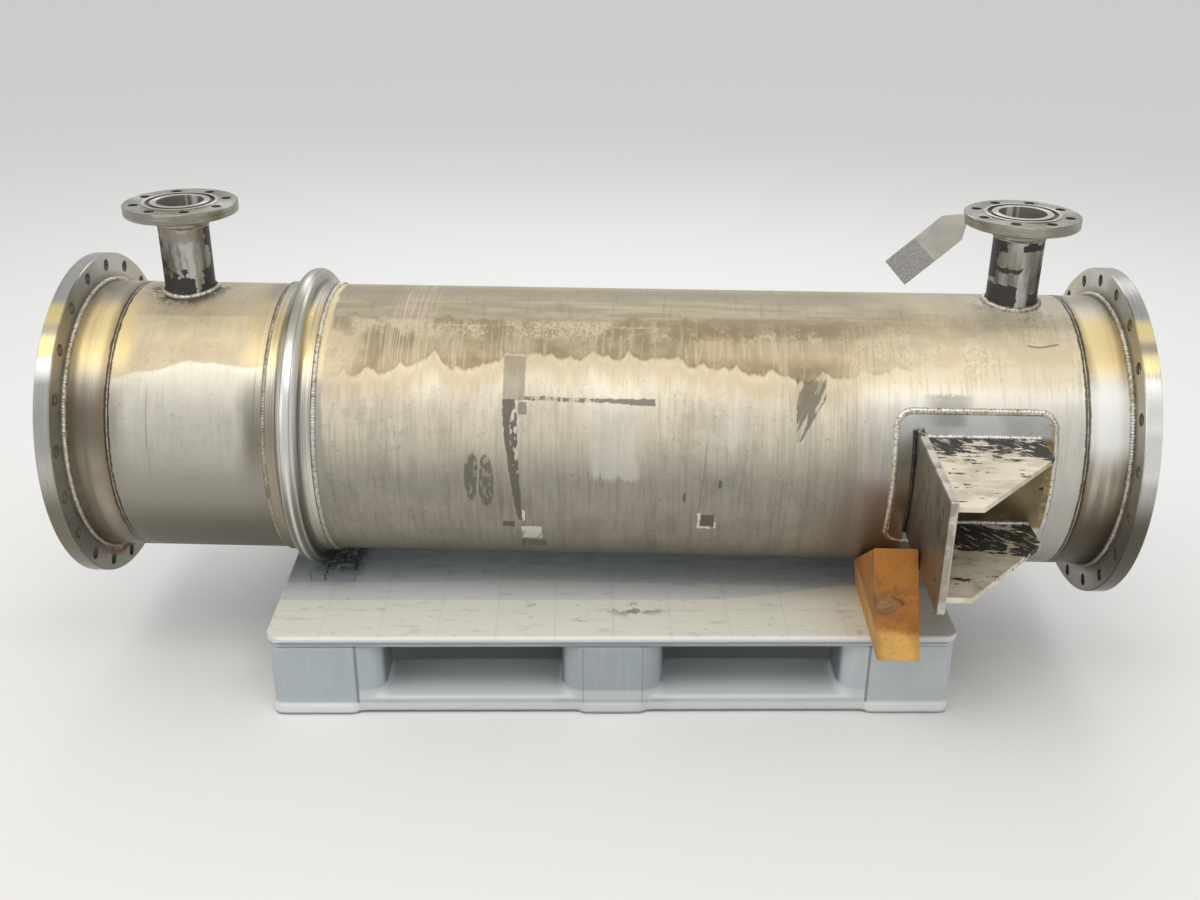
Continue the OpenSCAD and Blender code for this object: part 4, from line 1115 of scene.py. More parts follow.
PLATE_SHADE_BROWN = (0.26, 0.235, 0.185)
PLATE_SHADE_DARK = (0.155, 0.13, 0.095)
PLATE_BLOTCH = (0.115, 0.088, 0.058)
PLATE_WOOD_REFLECTION = (0.16, 0.105, 0.06)
PLATE_SPECK = (0.46, 0.43, 0.37)
CUT_PALE = (0.74, 0.71, 0.64)
CUT_DULL = (0.40, 0.365, 0.30)
PLATE_UNSHADED_FACE = (0.62, 0.58, 0.50)


def lug_plate_steel():
    paint = Paint("lug_plate_steel")
    grain = paint.noise((30.0, 60.0, 9.0), 4.0, 141.0)
    clouds = paint.noise((20.0, 24.0, 14.0), 5.0, 143.0, rough=0.62)
    specks = paint.noise(170.0, 4.0, 145.0, rough=0.65)
    # painted shade: the plate is dark brown-grey, as its left face lies in shade
    bare = paint.blend(grain.rise(0.42, 0.62) * 0.6, PLATE_SHADE_BROWN, PLATE_SHADE_DARK)
    bare = bare.coat(clouds.rise(0.50, 0.60) * 0.6, PLATE_BLOTCH)
    # painted reflection of the timber: warm brown low on the plate
    low = (paint.z - plate_low.z).fall(0.02, 0.11)
    bare = bare.coat(low * 0.55, PLATE_WOOD_REFLECTION)
    bare = bare.coat(specks.rise(0.58, 0.62) * 0.45, PLATE_SPECK)
    out = paint.y.size()
    inner = (out - PAD_R).fall(0.0, 0.045)
    edge = (out + (specks - 0.5) * 0.008 - LUG_EDGE).rise(-0.0075, -0.0015)
    top = (paint.z + (specks - 0.5) * 0.008 - plate_high.z).rise(-0.0075, -0.0015)
    edge = edge.either(top)
    cut_edge = paint.blend(clouds.rise(0.42, 0.58), CUT_PALE, CUT_DULL)
    bare = bare.coat(edge * 0.8, cut_edge)
    # the right face is painted lighter, out of that shade
    facing = (paint.x - LUG_BACK_X).rise(-0.003, -0.001)
    bare = bare.coat(facing * 0.5, PLATE_UNSHADED_FACE)
    cover = inner * 0.42 + edge * 0.10 + 0.02
    return flaked(paint, cover, bare, (60.0, 40.0, 30.0), 147.0, metal=0.75, rough=0.36)


dress(pipe_steel(-1), "nozzle_pipe_left")
dress(pipe_steel(1), "nozzle_pipe_right")
upper_gusset_steel = lug_steel(
    "gusset_steel_upper", 111.0, inner_cover=0.36, reach=0.40, flecks=0.26)
lower_gusset_steel = lug_steel(
    "gusset_steel_lower", 131.0, inner_cover=0.44, reach=0.62, flecks=0.28)
plate_steel = lug_plate_steel()

# %% [markdown]
# ## Pad, weld metal, tubes and the plate holder
#
# The pad between the gussets was never cleaned after welding and is olive brown, but
# its margin was brushed with the shell. Weld metal is bright on the tops of its ripples
# and brown or sooty between them. The holder is dull sheet, and its folded blade is
# darker and grained where a name plate would be stuck; that place stays bare.


# %% Those finishes
MARGIN_PALE = (0.60, 0.60, 0.57)
MARGIN_GREY = (0.46, 0.455, 0.42)
OLIVE = (0.245, 0.185, 0.085)
OLIVE_DARK = (0.165, 0.13, 0.07)
OLIVE_SPECK = (0.34, 0.28, 0.17)
PAD_LEFT_BROWN = (0.22, 0.175, 0.115)
PAD_LEFT_TAN = (0.34, 0.285, 0.20)
PAD_EDGE_RUST = (0.42, 0.30, 0.12)


def pad_steel():
    paint = Paint("pad_steel")
    clouds = paint.noise(14.0, 4.0, 151.0)
    specks = paint.noise(95.0, 4.0, 153.0)
    height = paint.z - AXIS_Z
    between = height.window(-0.085, 0.085, 0.006) * paint.x.rise(LUG_X + 0.004, LUG_X + 0.008)
    margin = paint.blend(clouds.rise(0.4, 0.65), MARGIN_PALE, MARGIN_GREY)
    olive = paint.blend(clouds.rise(0.35, 0.65), OLIVE, OLIVE_DARK)
    olive = olive.coat(specks.rise(0.62, 0.72) * 0.5, OLIVE_SPECK)
    colour = paint.blend(between, margin, olive)
    left_margin = paint.x.fall(LUG_X - 0.003, LUG_X + 0.001) * height.window(-0.2, 0.07, 0.04)
    left_brown = paint.blend(clouds.rise(0.4, 0.6), PAD_LEFT_BROWN, PAD_LEFT_TAN)
    colour = colour.coat(left_margin * 0.85, left_brown)
    stain = paint.x.window(0.578, 0.632, 0.012) * height.rise(0.098, 0.108)
    colour = colour.coat(stain * clouds.rise(0.38, 0.48) * 0.6, GRIME)
    far_edge = paint.x.rise(pad_high.x - 0.016, pad_high.x - 0.004) * specks.rise(0.44, 0.58)
    colour = colour.coat(far_edge * 0.7, PAD_EDGE_RUST)
    rough = clouds * 0.12 + between * 0.06 + 0.30
    metal, bumps = 0.88 - between * 0.25, clouds * 0.8 + specks * 0.15
    return paint.finish(colour, rough, metal, bumps, 0.0007)


WELD_SPECK = (0.14, 0.12, 0.09)
WELD_LOW_SHADE = (0.17, 0.15, 0.115)


def weld_metal(name, bright, tint, tint_share, seed, low_share=0.5):
    paint = Paint(name)
    clouds = paint.noise(26.0, 4.0, seed)
    specks = paint.noise(190.0, 4.0, seed + 3)
    colour = paint.blend(clouds.rise(0.62 - 0.3 * tint_share, 0.70) * 0.8, bright, tint)
    colour = colour.coat(specks.rise(0.52, 0.62) * 0.6, WELD_SPECK)
    # painted shade: the beads are darker low on the shell
    low = paint.round_shell().rise(0.34, 0.60) * low_share
    colour = colour.coat(low, WELD_LOW_SHADE)
    rough = specks * 0.18 + clouds * 0.12 + 0.30
    return paint.finish(colour, rough, 0.90, specks * 0.7 + clouds * 0.3, 0.0005)


TUBE_PALE = (0.62, 0.60, 0.55)
TUBE_DULL = (0.40, 0.375, 0.32)


def tube_steel():
    paint = Paint("tube_steel")
    clouds = paint.noise((5.0, 40.0, 40.0), 3.0, 171.0)
    colour = paint.blend(clouds.rise(0.4, 0.7), TUBE_PALE, TUBE_DULL)
    return paint.finish(colour, clouds * 0.1 + 0.30, 0.92, clouds, 0.0004)


HOLDER_PALE = (0.60, 0.56, 0.49)
HOLDER_DULL = (0.50, 0.465, 0.40)
BLADE_PALE = (0.46, 0.45, 0.425)
BLADE_DARK = (0.27, 0.265, 0.25)


def holder_steel():
    paint = Paint("holder_steel")
    tag_low, tag_high = corners("plate_holder")
    reach, rise = tag_high.x - tag_low.x, tag_high.z - tag_low.z
    fold = (paint.x - tag_low.x) * reach + (paint.z - tag_low.z) * rise
    fold = fold / (reach * reach + rise * rise)
    clouds = paint.noise(26.0, 4.0, 181.0)
    grit = paint.noise(520.0, 3.0, 183.0)
    colour = paint.blend(clouds.rise(0.35, 0.65), HOLDER_PALE, HOLDER_DULL)
    blade = fold.fall(0.49, 0.50)
    dark = paint.blend(grit.rise(0.42, 0.62), BLADE_PALE, BLADE_DARK)
    colour = colour.coat(blade, dark)
    rough = grit * 0.12 + 0.36 + blade * 0.08
    metal, bumps = 0.80 - blade * 0.15, grit * 0.5 * blade + clouds * 0.5
    return paint.finish(colour, rough, metal, bumps, 0.0004)


dress(pad_steel(), "lug_pad_front", "lug_pad_back")
dress(tube_steel(), "tube_bundle")
bright_weld = weld_metal(
    "bright_weld", bright=(0.66, 0.635, 0.57), tint=(0.50, 0.40, 0.25), tint_share=0.5, seed=161.0)
tarnished_weld = weld_metal(
    "tarnished_weld", bright=(0.52, 0.475, 0.38), tint=(0.22, 0.165, 0.10), tint_share=0.9,
    seed=165.0)
pad_weld = weld_metal(
    "pad_weld", bright=(0.76, 0.735, 0.66), tint=(0.60, 0.53, 0.38), tint_share=0.6, seed=169.0,
    low_share=0.35)
lug_weld = weld_metal(
    "lug_weld", bright=(0.86, 0.85, 0.80), tint=(0.40, 0.42, 0.38), tint_share=0.5, seed=175.0,
    low_share=0.0)
black_weld = weld_metal(
    "black_weld", bright=(0.045, 0.04, 0.034), tint=(0.26, 0.22, 0.16), tint_share=0.2, seed=177.0,
    low_share=0.0)
holder_finish = holder_steel()

# %% [markdown]
# ## Pallet plastic and timber
#
# The pallet is moulded polyethylene: one colour through, waxy, scuffed on its deck and
# black where the steel has dragged. The wedge is sawn pine. Its growth rings are a wave
# through the solid, bent by noise, so the end grain and the long grain agree where
# faces meet, and round a knot on the front face the rings are drawn in towards it.

# %% The pallet's own directions
wedge_low = corners("wedge_front")[0]
deck_low, deck_high = corners("pallet_deck")
KNOT = Vector((0.497, wedge_low.y, 0.279))
PALLET_X, PALLET_Y, PALLET_TURN = 0.024, 0.0855, radians(2.55)
DECK_TILE = 1 / 9.6
DRAG_ROW, DRAG_STEP = 0.027, 0.021  # how far apart the drag marks' rows and steps are
PLASTIC, PLASTIC_DULL = (0.52, 0.58, 0.61), (0.465, 0.525, 0.555)
POCKET_SHADE, DUST_AND_WARM_LIGHT = (0.10, 0.105, 0.105), (0.87, 0.855, 0.73)
DECK_LIT, DECK_SHADE = (0.72, 0.735, 0.71), (0.62, 0.68, 0.71)
LIP_LIT, DECK_EDGE_HIGHLIGHT, UNDER_LIP_SHADE = (0.86, 0.885, 0.885), (0.90, 0.915, 0.91), (0.24, 0.26, 0.275)
SOLE_HIGHLIGHT, TREAD_LIT, GROOVE_SHADE = (0.94, 0.96, 0.96), (0.84, 0.86, 0.86), (0.17, 0.185, 0.195)


class PalletPaint(Paint):
    """A paint that also knows the pallet's length and width, from its middle."""

    def __init__(self, name):
        super().__init__(name)
        x, y = self.x - PALLET_X, self.y - PALLET_Y
        self.along = x * cos(PALLET_TURN) + y * sin(PALLET_TURN)
        self.aside = y * cos(PALLET_TURN) - x * sin(PALLET_TURN)
        self.deck = self.z.rise(deck_high.z - 0.008, deck_high.z - 0.0005)
        self.smudge = self.noise((30.0, 45.0, 30.0), 5.0, 213.0, rough=0.62)
        self.grime = self.noise((14.0, 60.0, 30.0), 5.0, 203.0)


# %% Sides, lip and feet of the pallet
def pallet_sides(paint, colour):
    """Painted light at the right end, darker amidships, and painted shade in the pockets between
    the feet.
    """
    along_off, aside_off, side = paint.along.size(), paint.aside.size(), 1 - paint.deck
    # painted light: the sides lighter towards the right end
    colour = colour.tint(paint.along.rise(0.30, 0.50) * side, (1.26, 1.22, 1.20))
    colour = colour.tint(along_off.fall(0.09, 0.12) * side, (0.82, 0.82, 0.82))
    below_deck = paint.z.fall(deck_low.z + 0.001, deck_low.z + 0.004)
    # painted shade in the pockets between the feet, under the deck
    pocket_shade = aside_off.fall(0.372, 0.384) * along_off.fall(0.585, 0.600) * below_deck
    pocket_shade = pocket_shade * paint.z.rise(0.048, 0.058).either(aside_off.fall(0.24, 0.27))
    return colour.coat(pocket_shade * 0.75, POCKET_SHADE)


def pallet_lip_and_feet(paint, colour):
    """Painted light on the lip and the treads, painted highlights on the deck's edge and the
    soles, and painted shade under the lip and in the grooves moulded into the feet.
    """
    along_off, aside_off = paint.along.size(), paint.aside.size()
    below_deck = paint.z.fall(deck_low.z + 0.001, deck_low.z + 0.004)
    # painted light: the deck's lip paler
    lip = paint.z.rise(deck_low.z + 0.009, deck_low.z + 0.012) * (1 - paint.deck)
    colour = colour.coat(lip * 0.9, LIP_LIT)
    # painted highlight along the deck's top edge
    rim = paint.z.window(deck_high.z - 0.006, deck_high.z - 0.0015, 0.001)
    colour = colour.coat(rim * 0.8, DECK_EDGE_HIGHLIGHT)
    # painted shade under the lip
    shade_under_lip = paint.z.window(deck_low.z + 0.007, deck_low.z + 0.0115, 0.001)
    colour = colour.coat(shade_under_lip * 0.6, UNDER_LIP_SHADE)
    # painted highlight on the soles, strongest at the end blocks
    sole = paint.z.fall(0.021, 0.029) * paint.z.rise(0.004, 0.009)
    at_end = along_off.rise(0.456, 0.462)
    colour = colour.coat(sole * (at_end * 0.35 + 0.6), SOLE_HIGHLIGHT)
    # painted light on the runners' tops
    tread = paint.z.window(0.030, 0.050, 0.004) * (1 - at_end) * aside_off.rise(0.26, 0.28)
    colour = colour.coat(tread * 0.55, TREAD_LIT)
    # painted shade: dark lines in the grooves between the feet's blocks and columns
    grooves = (along_off - 0.460).near(0.0012, 0.0035).either(
        (along_off - 0.0535).near(0.0006, 0.0018) * 0.6)
    grooves = grooves * aside_off.rise(0.380, 0.390) * below_deck * (1 - sole)
    return colour.coat(grooves * 0.75, GROOVE_SHADE)


# %% The deck and its drag marks
DECK_GRIME = (0.30, 0.30, 0.27)
DECK_SMUDGE = (0.33, 0.33, 0.30)
TILE_LINE = (0.30, 0.31, 0.29)


def pallet_deck_top(paint, colour, brick):
    """Painted warm light with dust along the front, painted shade of the shell in a strip behind
    it, the lit deck between, dirt and smudges.
    """
    deck = paint.deck
    # painted warm light with dust on the front of the deck, up to the edge of the shell's shade
    lit_edge = paint.aside + PALLET_Y - paint.along.rise(0.17, 0.50) * 0.055
    dust_and_light = deck * lit_edge.fall(-0.192, -0.186) * paint.x.fall(0.50, 0.54)
    colour = colour.coat(dust_and_light * 0.90, DUST_AND_WARM_LIGHT)
    # painted shade of the shell on the deck behind, and a lit colour for the deck between
    shade = deck * (paint.y + (-0.10 - paint.x).either(0.0) * 0.06).rise(-0.127, -0.120)
    colour = colour.coat(deck * (1 - shade) * (1 - dust_and_light) * 0.8, DECK_LIT)
    colour = colour.coat(shade * 0.5, DECK_SHADE)
    colour = colour.coat(deck * paint.grime.rise(0.57, 0.68) * 0.25, DECK_GRIME)
    colour = colour.coat(deck * paint.smudge.rise(0.63, 0.67) * 0.4, DECK_SMUDGE)
    return colour.coat(brick * deck * 0.10, TILE_LINE)


DRAG_SMEAR = (0.06, 0.063, 0.066)
DRAG_BLACK = (0.022, 0.023, 0.025)
SHELL_SHADE_AND_GRIME = (0.12, 0.125, 0.13)
SCUFF_BROWN = (0.20, 0.185, 0.145)


def drag_marks(paint, colour):
    """Black rows where the steel was dragged over the deck by the bellows, scuffs, and painted
    shade with grime under the shell.
    """
    deck = paint.deck
    rubbed = paint.x - BELLOWS_X - 0.030
    drag = paint.noise((9.0, 9.0, 9.0), 3.0, 211.0) - 0.5
    row = (rubbed + drag * 0.05 + (paint.y + 0.1) * 0.10) * (2 * pi / DRAG_ROW)
    strokes = row.maths("SINE").rise(0.80, 0.97) * drag.rise(-0.12, 0.02)
    across = ((paint.y + drag * 0.04) * (2 * pi / DRAG_STEP)).maths("SINE").rise(0.93, 1.0) * 0.6
    zone = rubbed.near(0.030, 0.060) * paint.y.window(-0.150, 0.12, 0.030) * deck
    broken = paint.noise((90.0, 60.0, 60.0), 4.0, 215.0, rough=0.65).rise(0.40, 0.50)
    smeared = broken * paint.y.rise(-0.13, -0.07) * 0.6 + 0.25
    colour = colour.coat(zone * smeared, DRAG_SMEAR)
    colour = colour.coat(zone * strokes.either(across) * broken * 0.93, DRAG_BLACK)
    # painted shade with grime on the deck under the shell
    shell_shade_and_grime = deck * (paint.y + 0.02).near(0.03, 0.085) * paint.grime.rise(0.42, 0.56)
    colour = colour.coat(shell_shade_and_grime * 0.15, SHELL_SHADE_AND_GRIME)
    scuff = ((paint.x - 0.075).size() * 0.8 + (paint.y + 0.225).size() * 1.8).fall(0.01, 0.075)
    return colour.coat(scuff * deck * paint.smudge.rise(0.50, 0.55) * 0.75, SCUFF_BROWN)


# %% Pallet plastic
SIDE_STREAK = (0.66, 0.71, 0.73)
SOLE_GRIME = (0.30, 0.305, 0.28)


def pallet_plastic():
    paint = PalletPaint("pallet_plastic")
    deck = paint.deck
    clouds = paint.noise(6.0, 4.0, 201.0)
    fine = paint.noise(160.0, 3.0, 205.0)
    upright = paint.noise((140.0, 140.0, 3.0), 3.0, 207.0)
    black, white = (0, 0, 0, 1), (1, 1, 1, 1)
    tiles = paint.point(paint.along * (1 / DECK_TILE), paint.aside * (1 / DECK_TILE), 0.0)
    brick = paint.node("ShaderNodeTexBrick", {"offset": 0.0}, {
        "Vector": tiles, "Color1": black, "Color2": black, "Mortar": white, "Scale": 1.0,
        "Mortar Size": 0.018, "Brick Width": 1.0, "Row Height": 1.0})

    colour = paint.blend(clouds.rise(0.35, 0.7), PLASTIC, PLASTIC_DULL)
    colour = pallet_sides(paint, colour)
    colour = pallet_deck_top(paint, colour, brick)
    colour = colour.coat((1 - deck) * upright.rise(0.45, 0.7) * 0.15, SIDE_STREAK)
    colour = pallet_lip_and_feet(paint, colour)
    colour = drag_marks(paint, colour)
    colour = colour.coat(paint.z.fall(0.0, 0.008) * 0.5, SOLE_GRIME)
    rough = clouds * 0.14 + deck * 0.10 + fine * 0.10 + 0.30
    height = clouds * 0.8 + fine * 0.12 + upright * 0.12 + brick * deck * 0.25
    return paint.finish(colour, rough, 0.0, height, 0.0009)


# %% Sawn timber
TIMBER_RED = (0.56, 0.215, 0.026)
TIMBER_LIT = (0.98, 0.56, 0.150)
LATE_WOOD = (0.34, 0.135, 0.028)
FIBRE_BROWN = (0.30, 0.135, 0.035)
SPECK_RED = (0.24, 0.085, 0.015)
KNOT_DARK = (0.085, 0.045, 0.022)
KNOT_EYE = (0.62, 0.40, 0.20)
FLANK_BROWN = (0.27, 0.165, 0.07)


def sawn_timber():
    paint = Paint("sawn_timber")
    on_front = paint.point(paint.x, paint.y.size() * -1, paint.z)  # the back wedge mirrors it
    from_knot = paint.vector("SUBTRACT", on_front, tuple(KNOT))
    gap = paint.vector("LENGTH", paint.vector("MULTIPLY", from_knot, (0.62, 1.0, 1.25)))
    bend = paint.noise(11.0, 3.0, 221.0)
    fibre = paint.noise((160.0, 9.0, 160.0), 3.0, 223.0)
    speck = paint.noise((110.0, 110.0, 60.0), 4.0, 225.0)
    pull = gap.fall(0.0, 0.060) * 2.2
    rings = (paint.x * 62.0 + paint.z * 9.0 + bend * 3.2 + pull * 3.0).maths("SINE")
    # painted light: the wedge's lower part is bright orange as if lit, above it the darker wood
    lit_lower = (paint.z - wedge_low.z + (bend - 0.5) * 0.05).fall(0.050, 0.075)
    colour = paint.blend(lit_lower, TIMBER_RED, TIMBER_LIT)
    colour = colour.coat(rings.rise(-0.2, 0.9) * (0.55 - lit_lower * 0.15), LATE_WOOD)
    colour = colour.coat(fibre.rise(0.5, 0.75) * (0.45 - lit_lower * 0.25), FIBRE_BROWN)
    colour = colour.coat(speck.rise(0.57, 0.66) * (1 - lit_lower * 0.85) * 0.5, SPECK_RED)
    arcs = (gap * 560.0 + bend * 5.0).maths("SINE").rise(0.0, 0.8)
    knot = gap.fall(0.016, 0.038) * paint.noise((55.0, 55.0, 90.0), 3.0, 229.0).rise(0.38, 0.55)
    colour = colour.coat(knot * (arcs * 0.50 + 0.45), KNOT_DARK)
    pale_eye = (gap - 0.006).fall(0.0, 0.010)
    colour = colour.coat(pale_eye * 0.3, KNOT_EYE)
    side_grain = paint.noise((6.0, 70.0, 5.0), 3.0, 233.0)
    flank = (paint.x - wedge_low.x - 0.052).fall(-0.006, 0.006)
    colour = colour.coat(flank * side_grain.rise(0.4, 0.7) * 0.6, FLANK_BROWN)
    rough = fibre * 0.2 + 0.52
    return paint.finish(colour, rough, 0.0, fibre * 0.5 + rings * 0.12 + speck * 0.25, 0.0008)


plastic, timber = pallet_plastic(), sawn_timber()
dress(plastic, "pallet_deck")

# %% [markdown]
# ## Weld beads
#
# A weld bead is a row of frozen ripples, each a little proud of the next. It follows a
# path, so Geometry Nodes make it: the path is resampled a few times a ripple, the
# radius of a round section goes down over each ripple and jumps up again, noise makes
# the bead wander, and the section is swept. One tree with named inputs makes all beads,
# and each bead stands in for the plain fillet of the CAD model.


# %% Tools that run a geometry tree
def geometry_tree(name, inputs):
    """A new geometry tree with a mesh input, named inputs and one output, and its inputs."""
    group = bpy.data.node_groups.new(name, "GeometryNodeTree")
    group.interface.new_socket(name="Geometry", in_out="INPUT", socket_type="NodeSocketGeometry")
    for label, kind in inputs:
        group.interface.new_socket(name=label, in_out="INPUT", socket_type="NodeSocket" + kind)
    group.interface.new_socket(name="Geometry", in_out="OUTPUT", socket_type="NodeSocketGeometry")
    tree = Tree(group)
    source = tree.node("NodeGroupInput")
    return tree, {s.name: Value(tree, s) for s in source.socket.node.outputs if s.name}


def end_tree(tree, geometry, material):
    """Closes a tree: real geometry, smooth shading and its material."""
    whole = tree.node("GeometryNodeRealizeInstances", None, {0: geometry})
    smooth = tree.node("GeometryNodeSetShadeSmooth", None, {"Geometry": whole})
    painted = tree.node("GeometryNodeSetMaterial", None, {
        "Geometry": smooth, "Material": material})
    tree.node("NodeGroupOutput", None, {0: painted})
    return tree.node_tree


def grown(name, source, group, settings):
    """Runs a geometry tree on a mesh and returns the result as a plain object."""
    holder = bpy.data.objects.new(name + "_source", source)
    scene.collection.objects.link(holder)
    modifier = holder.modifiers.new("grow", "NODES")
    modifier.node_group = group
    for item in group.interface.items_tree:
        if item.in_out == "INPUT" and item.name in settings:
            modifier[item.identifier] = settings[item.name]
    seen_by = bpy.context.evaluated_depsgraph_get()
    mesh = bpy.data.meshes.new_from_object(holder.evaluated_get(seen_by))
    mesh.name = name
    bpy.data.objects.remove(holder)
    bpy.data.meshes.remove(source)
    piece = bpy.data.objects.new(name, mesh)
    scene.collection.objects.link(piece)
    triangles = sum(len(p.vertices) - 2 for p in mesh.polygons)
    print(name, triangles, "triangles")
    return piece


def path_mesh(paths):
    """Paths of points as one mesh of edges. Each path is (points, closed)."""
    points, edges = [], []
    for path, closed in paths:
        first = len(points)
        points += [tuple(p) for p in path]
        edges += [(first + k, first + k + 1) for k in range(len(path) - 1)]
        if closed:
            edges.append((len(points) - 1, first))
    mesh = bpy.data.meshes.new("path")
    mesh.from_pydata(points, edges, [])
    return mesh


# %% The bead tree
SECTION_SIDES = 10
STEPS_PER_RIPPLE = 4


def bead_tree():
    tree, given = geometry_tree("weld_bead", [
        ("Bead Radius", "Float"), ("Ripple Length", "Float"), ("Ripple Height", "Float"),
        ("Wander", "Float"), ("Seed", "Float"), ("Material", "Material"),
    ])
    curve = tree.node("GeometryNodeMeshToCurve", None, {"Mesh": given["Geometry"]})
    curve = tree.node("GeometryNodeResampleCurve", {"mode": "LENGTH"}, {
        "Curve": curve, "Length": given["Ripple Length"] / STEPS_PER_RIPPLE})
    length = tree.node("GeometryNodeSplineParameter", output="Length")
    step = (length / given["Ripple Length"]).maths("FRACT")
    position = tree.node("GeometryNodeInputPosition")
    noise_in = {"Vector": position, "W": given["Seed"], "Scale": 70.0, "Detail": 2.0}
    wobble = tree.node("ShaderNodeTexNoise", {"noise_dimensions": "4D"}, noise_in)
    radius = given["Bead Radius"] * (1 - step * given["Ripple Height"]) * (wobble * 0.5 + 0.75)
    drift = tree.vector("MULTIPLY_ADD", wobble.other("Color"), (2, 2, 2), (-1, -1, -1))
    drift = tree.node("ShaderNodeVectorMath", {"operation": "SCALE"}, {
        0: drift, "Scale": given["Wander"]})
    curve = tree.node("GeometryNodeSetPosition", None, {"Geometry": curve, "Offset": drift})
    curve = tree.node("GeometryNodeSetCurveRadius", None, {"Curve": curve, "Radius": radius})
    section = tree.node("GeometryNodeCurvePrimitiveCircle", None, {
        "Resolution": SECTION_SIDES, "Radius": 1.0})
    sweep = {"Curve": curve, "Profile Curve": section, "Fill Caps": True}
    bead = tree.node("GeometryNodeCurveToMesh", None, sweep)
    scaled = bead.socket.node.inputs.get("Scale")
    if scaled is not None:
        tree.node_tree.links.new(radius.socket, scaled)
    return end_tree(tree, bead, given["Material"])


BEAD = bead_tree()


def bead(name, paths, radius, material, ripple, height, wander, seed, stands_for=()):
    """A rippled weld bead along one or more paths. Height is a share of the radius."""
    piece = grown(name, path_mesh(paths), BEAD, {
        "Bead Radius": radius, "Ripple Length": ripple, "Ripple Height": height,
        "Wander": wander, "Seed": seed, "Material": material,
    })
    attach(piece, "root")
    if stands_for:
        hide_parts(*stands_for)
    return piece


# %% Beads round the shell
RING_STEPS = 180
TURNS = [2 * pi * k / RING_STEPS for k in range(RING_STEPS)]
SIDES = ((-1, "left"), (1, "right"))


def hoop(x, radius):
    """A closed path round the shell."""
    return [Vector((x, radius * sin(t), AXIS_Z + radius * cos(t))) for t in TURNS], True


for side, word in SIDES:
    sheet_ring = hoop(side * (SHEET_BACK - 0.0028), SHELL_R + 0.0026)
    sleeve_ring = hoop(BELLOWS_X + side * (SLEEVE_END + 0.0038), SHELL_R - 0.0014)
    seam_ring = hoop(side * SEAM_X, SHELL_R - 0.0016)
    bead(f"tubesheet_bead_{word}", [sheet_ring], 0.0058, bright_weld, ripple=0.0052, height=0.30,
         wander=0.0010, seed=3.0 + side, stands_for=[f"tubesheet_weld_{word}"])
    bead(f"bellows_bead_{word}", [sleeve_ring], 0.0058,
         bright_weld if side > 0 else tarnished_weld, ripple=0.0050, height=0.22,
         wander=0.0007, seed=13.0 + side, stands_for=[f"bellows_weld_{word}"])
    bead(f"seam_bead_{word}", [seam_ring], 0.0022, tarnished_weld, ripple=0.0036, height=0.25,
         wander=0.0004, seed=23.0 + side)


# %% Beads of the nozzles
def saddle(x, radius, lift):
    """A closed path where an upright pipe of that radius meets the shell."""
    path = []
    for t in TURNS:
        px, py = radius * cos(t), radius * sin(t)
        path.append(Vector((x + px, py, AXIS_Z + sqrt((SHELL_R + lift) ** 2 - py * py))))
    return path, True


def level_ring(x, radius, z):
    """A closed level path round an upright axis."""
    return [Vector((x + radius * cos(t), radius * sin(t), z)) for t in TURNS], True


for side, word in SIDES:
    foot = saddle(side * NOZZLE_X, PIPE_R + 0.0030, 0.0020)
    neck = level_ring(side * NOZZLE_X, PIPE_R - 0.0012, PIPE_TOP)
    bead(f"nozzle_bead_{word}", [foot], 0.0058, bright_weld, ripple=0.0042, height=0.32,
         wander=0.0010, seed=33.0 + side, stands_for=[f"nozzle_weld_{word}"])
    bead(f"nozzle_root_bead_{word}", [neck], 0.0028, tarnished_weld, ripple=0.0034, height=0.25,
         wander=0.0004, seed=43.0 + side, stands_for=[f"nozzle_butt_weld_{word}"])


# %% Beads of the lugs
def on_shell(x, z, radius, flank):
    """The point of the shell or pad at that height, on the front (-1) or back (1)."""
    return Vector((x, flank * sqrt(radius * radius - (z - AXIS_Z) ** 2), z))


PAD_CORNER = 0.022
PAD_PATH_STEP = 0.008
CORNER_STEPS = 8
PLATE_RUN_STEPS = 24
LUG_RUN_R = PAD_R + 0.001


def pad_path(flank, grow, radius):
    """The pad's rounded outline laid on the shell."""
    corner = PAD_CORNER + grow
    x1, x2 = pad_low.x - grow, pad_high.x + grow
    z1, z2 = pad_low.z - grow, pad_high.z + grow
    path = []
    for cx, cz, start in ((x2 - corner, z2 - corner, 0), (x1 + corner, z2 - corner, 90),
                          (x1 + corner, z1 + corner, 180), (x2 - corner, z1 + corner, 270)):
        for k in range(CORNER_STEPS + 1):
            t = radians(start + 90 / CORNER_STEPS * k)
            path.append((cx + corner * cos(t), cz + corner * sin(t)))
    fine = []
    for (ax, az), (bx, bz) in zip(path, path[1:] + path[:1]):
        count = max(1, round(hypot(bx - ax, bz - az) / PAD_PATH_STEP))
        fine += [(ax + (bx - ax) * k / count, az + (bz - az) * k / count) for k in range(count)]
    return [on_shell(x, z, radius, flank) for x, z in fine], True


def upright_run(x, z1, z2, flank):
    """An open path up the pad, beside the lug plate."""
    count = PLATE_RUN_STEPS
    rises = [z1 + (z2 - z1) * k / count for k in range(count + 1)]
    return [on_shell(x, z, LUG_RUN_R, flank) for z in rises], False


def level_run(x1, x2, z, flank):
    """An open path along the pad, beside a gusset."""
    return [on_shell(x, z, LUG_RUN_R, flank) for x in (x1, x2)], False


def outward_run(x, z, y1, y2, flank):
    """An open path away from the shell, between a gusset and the lug plate."""
    return [Vector((x, flank * y, z)) for y in (y1, y2)], False


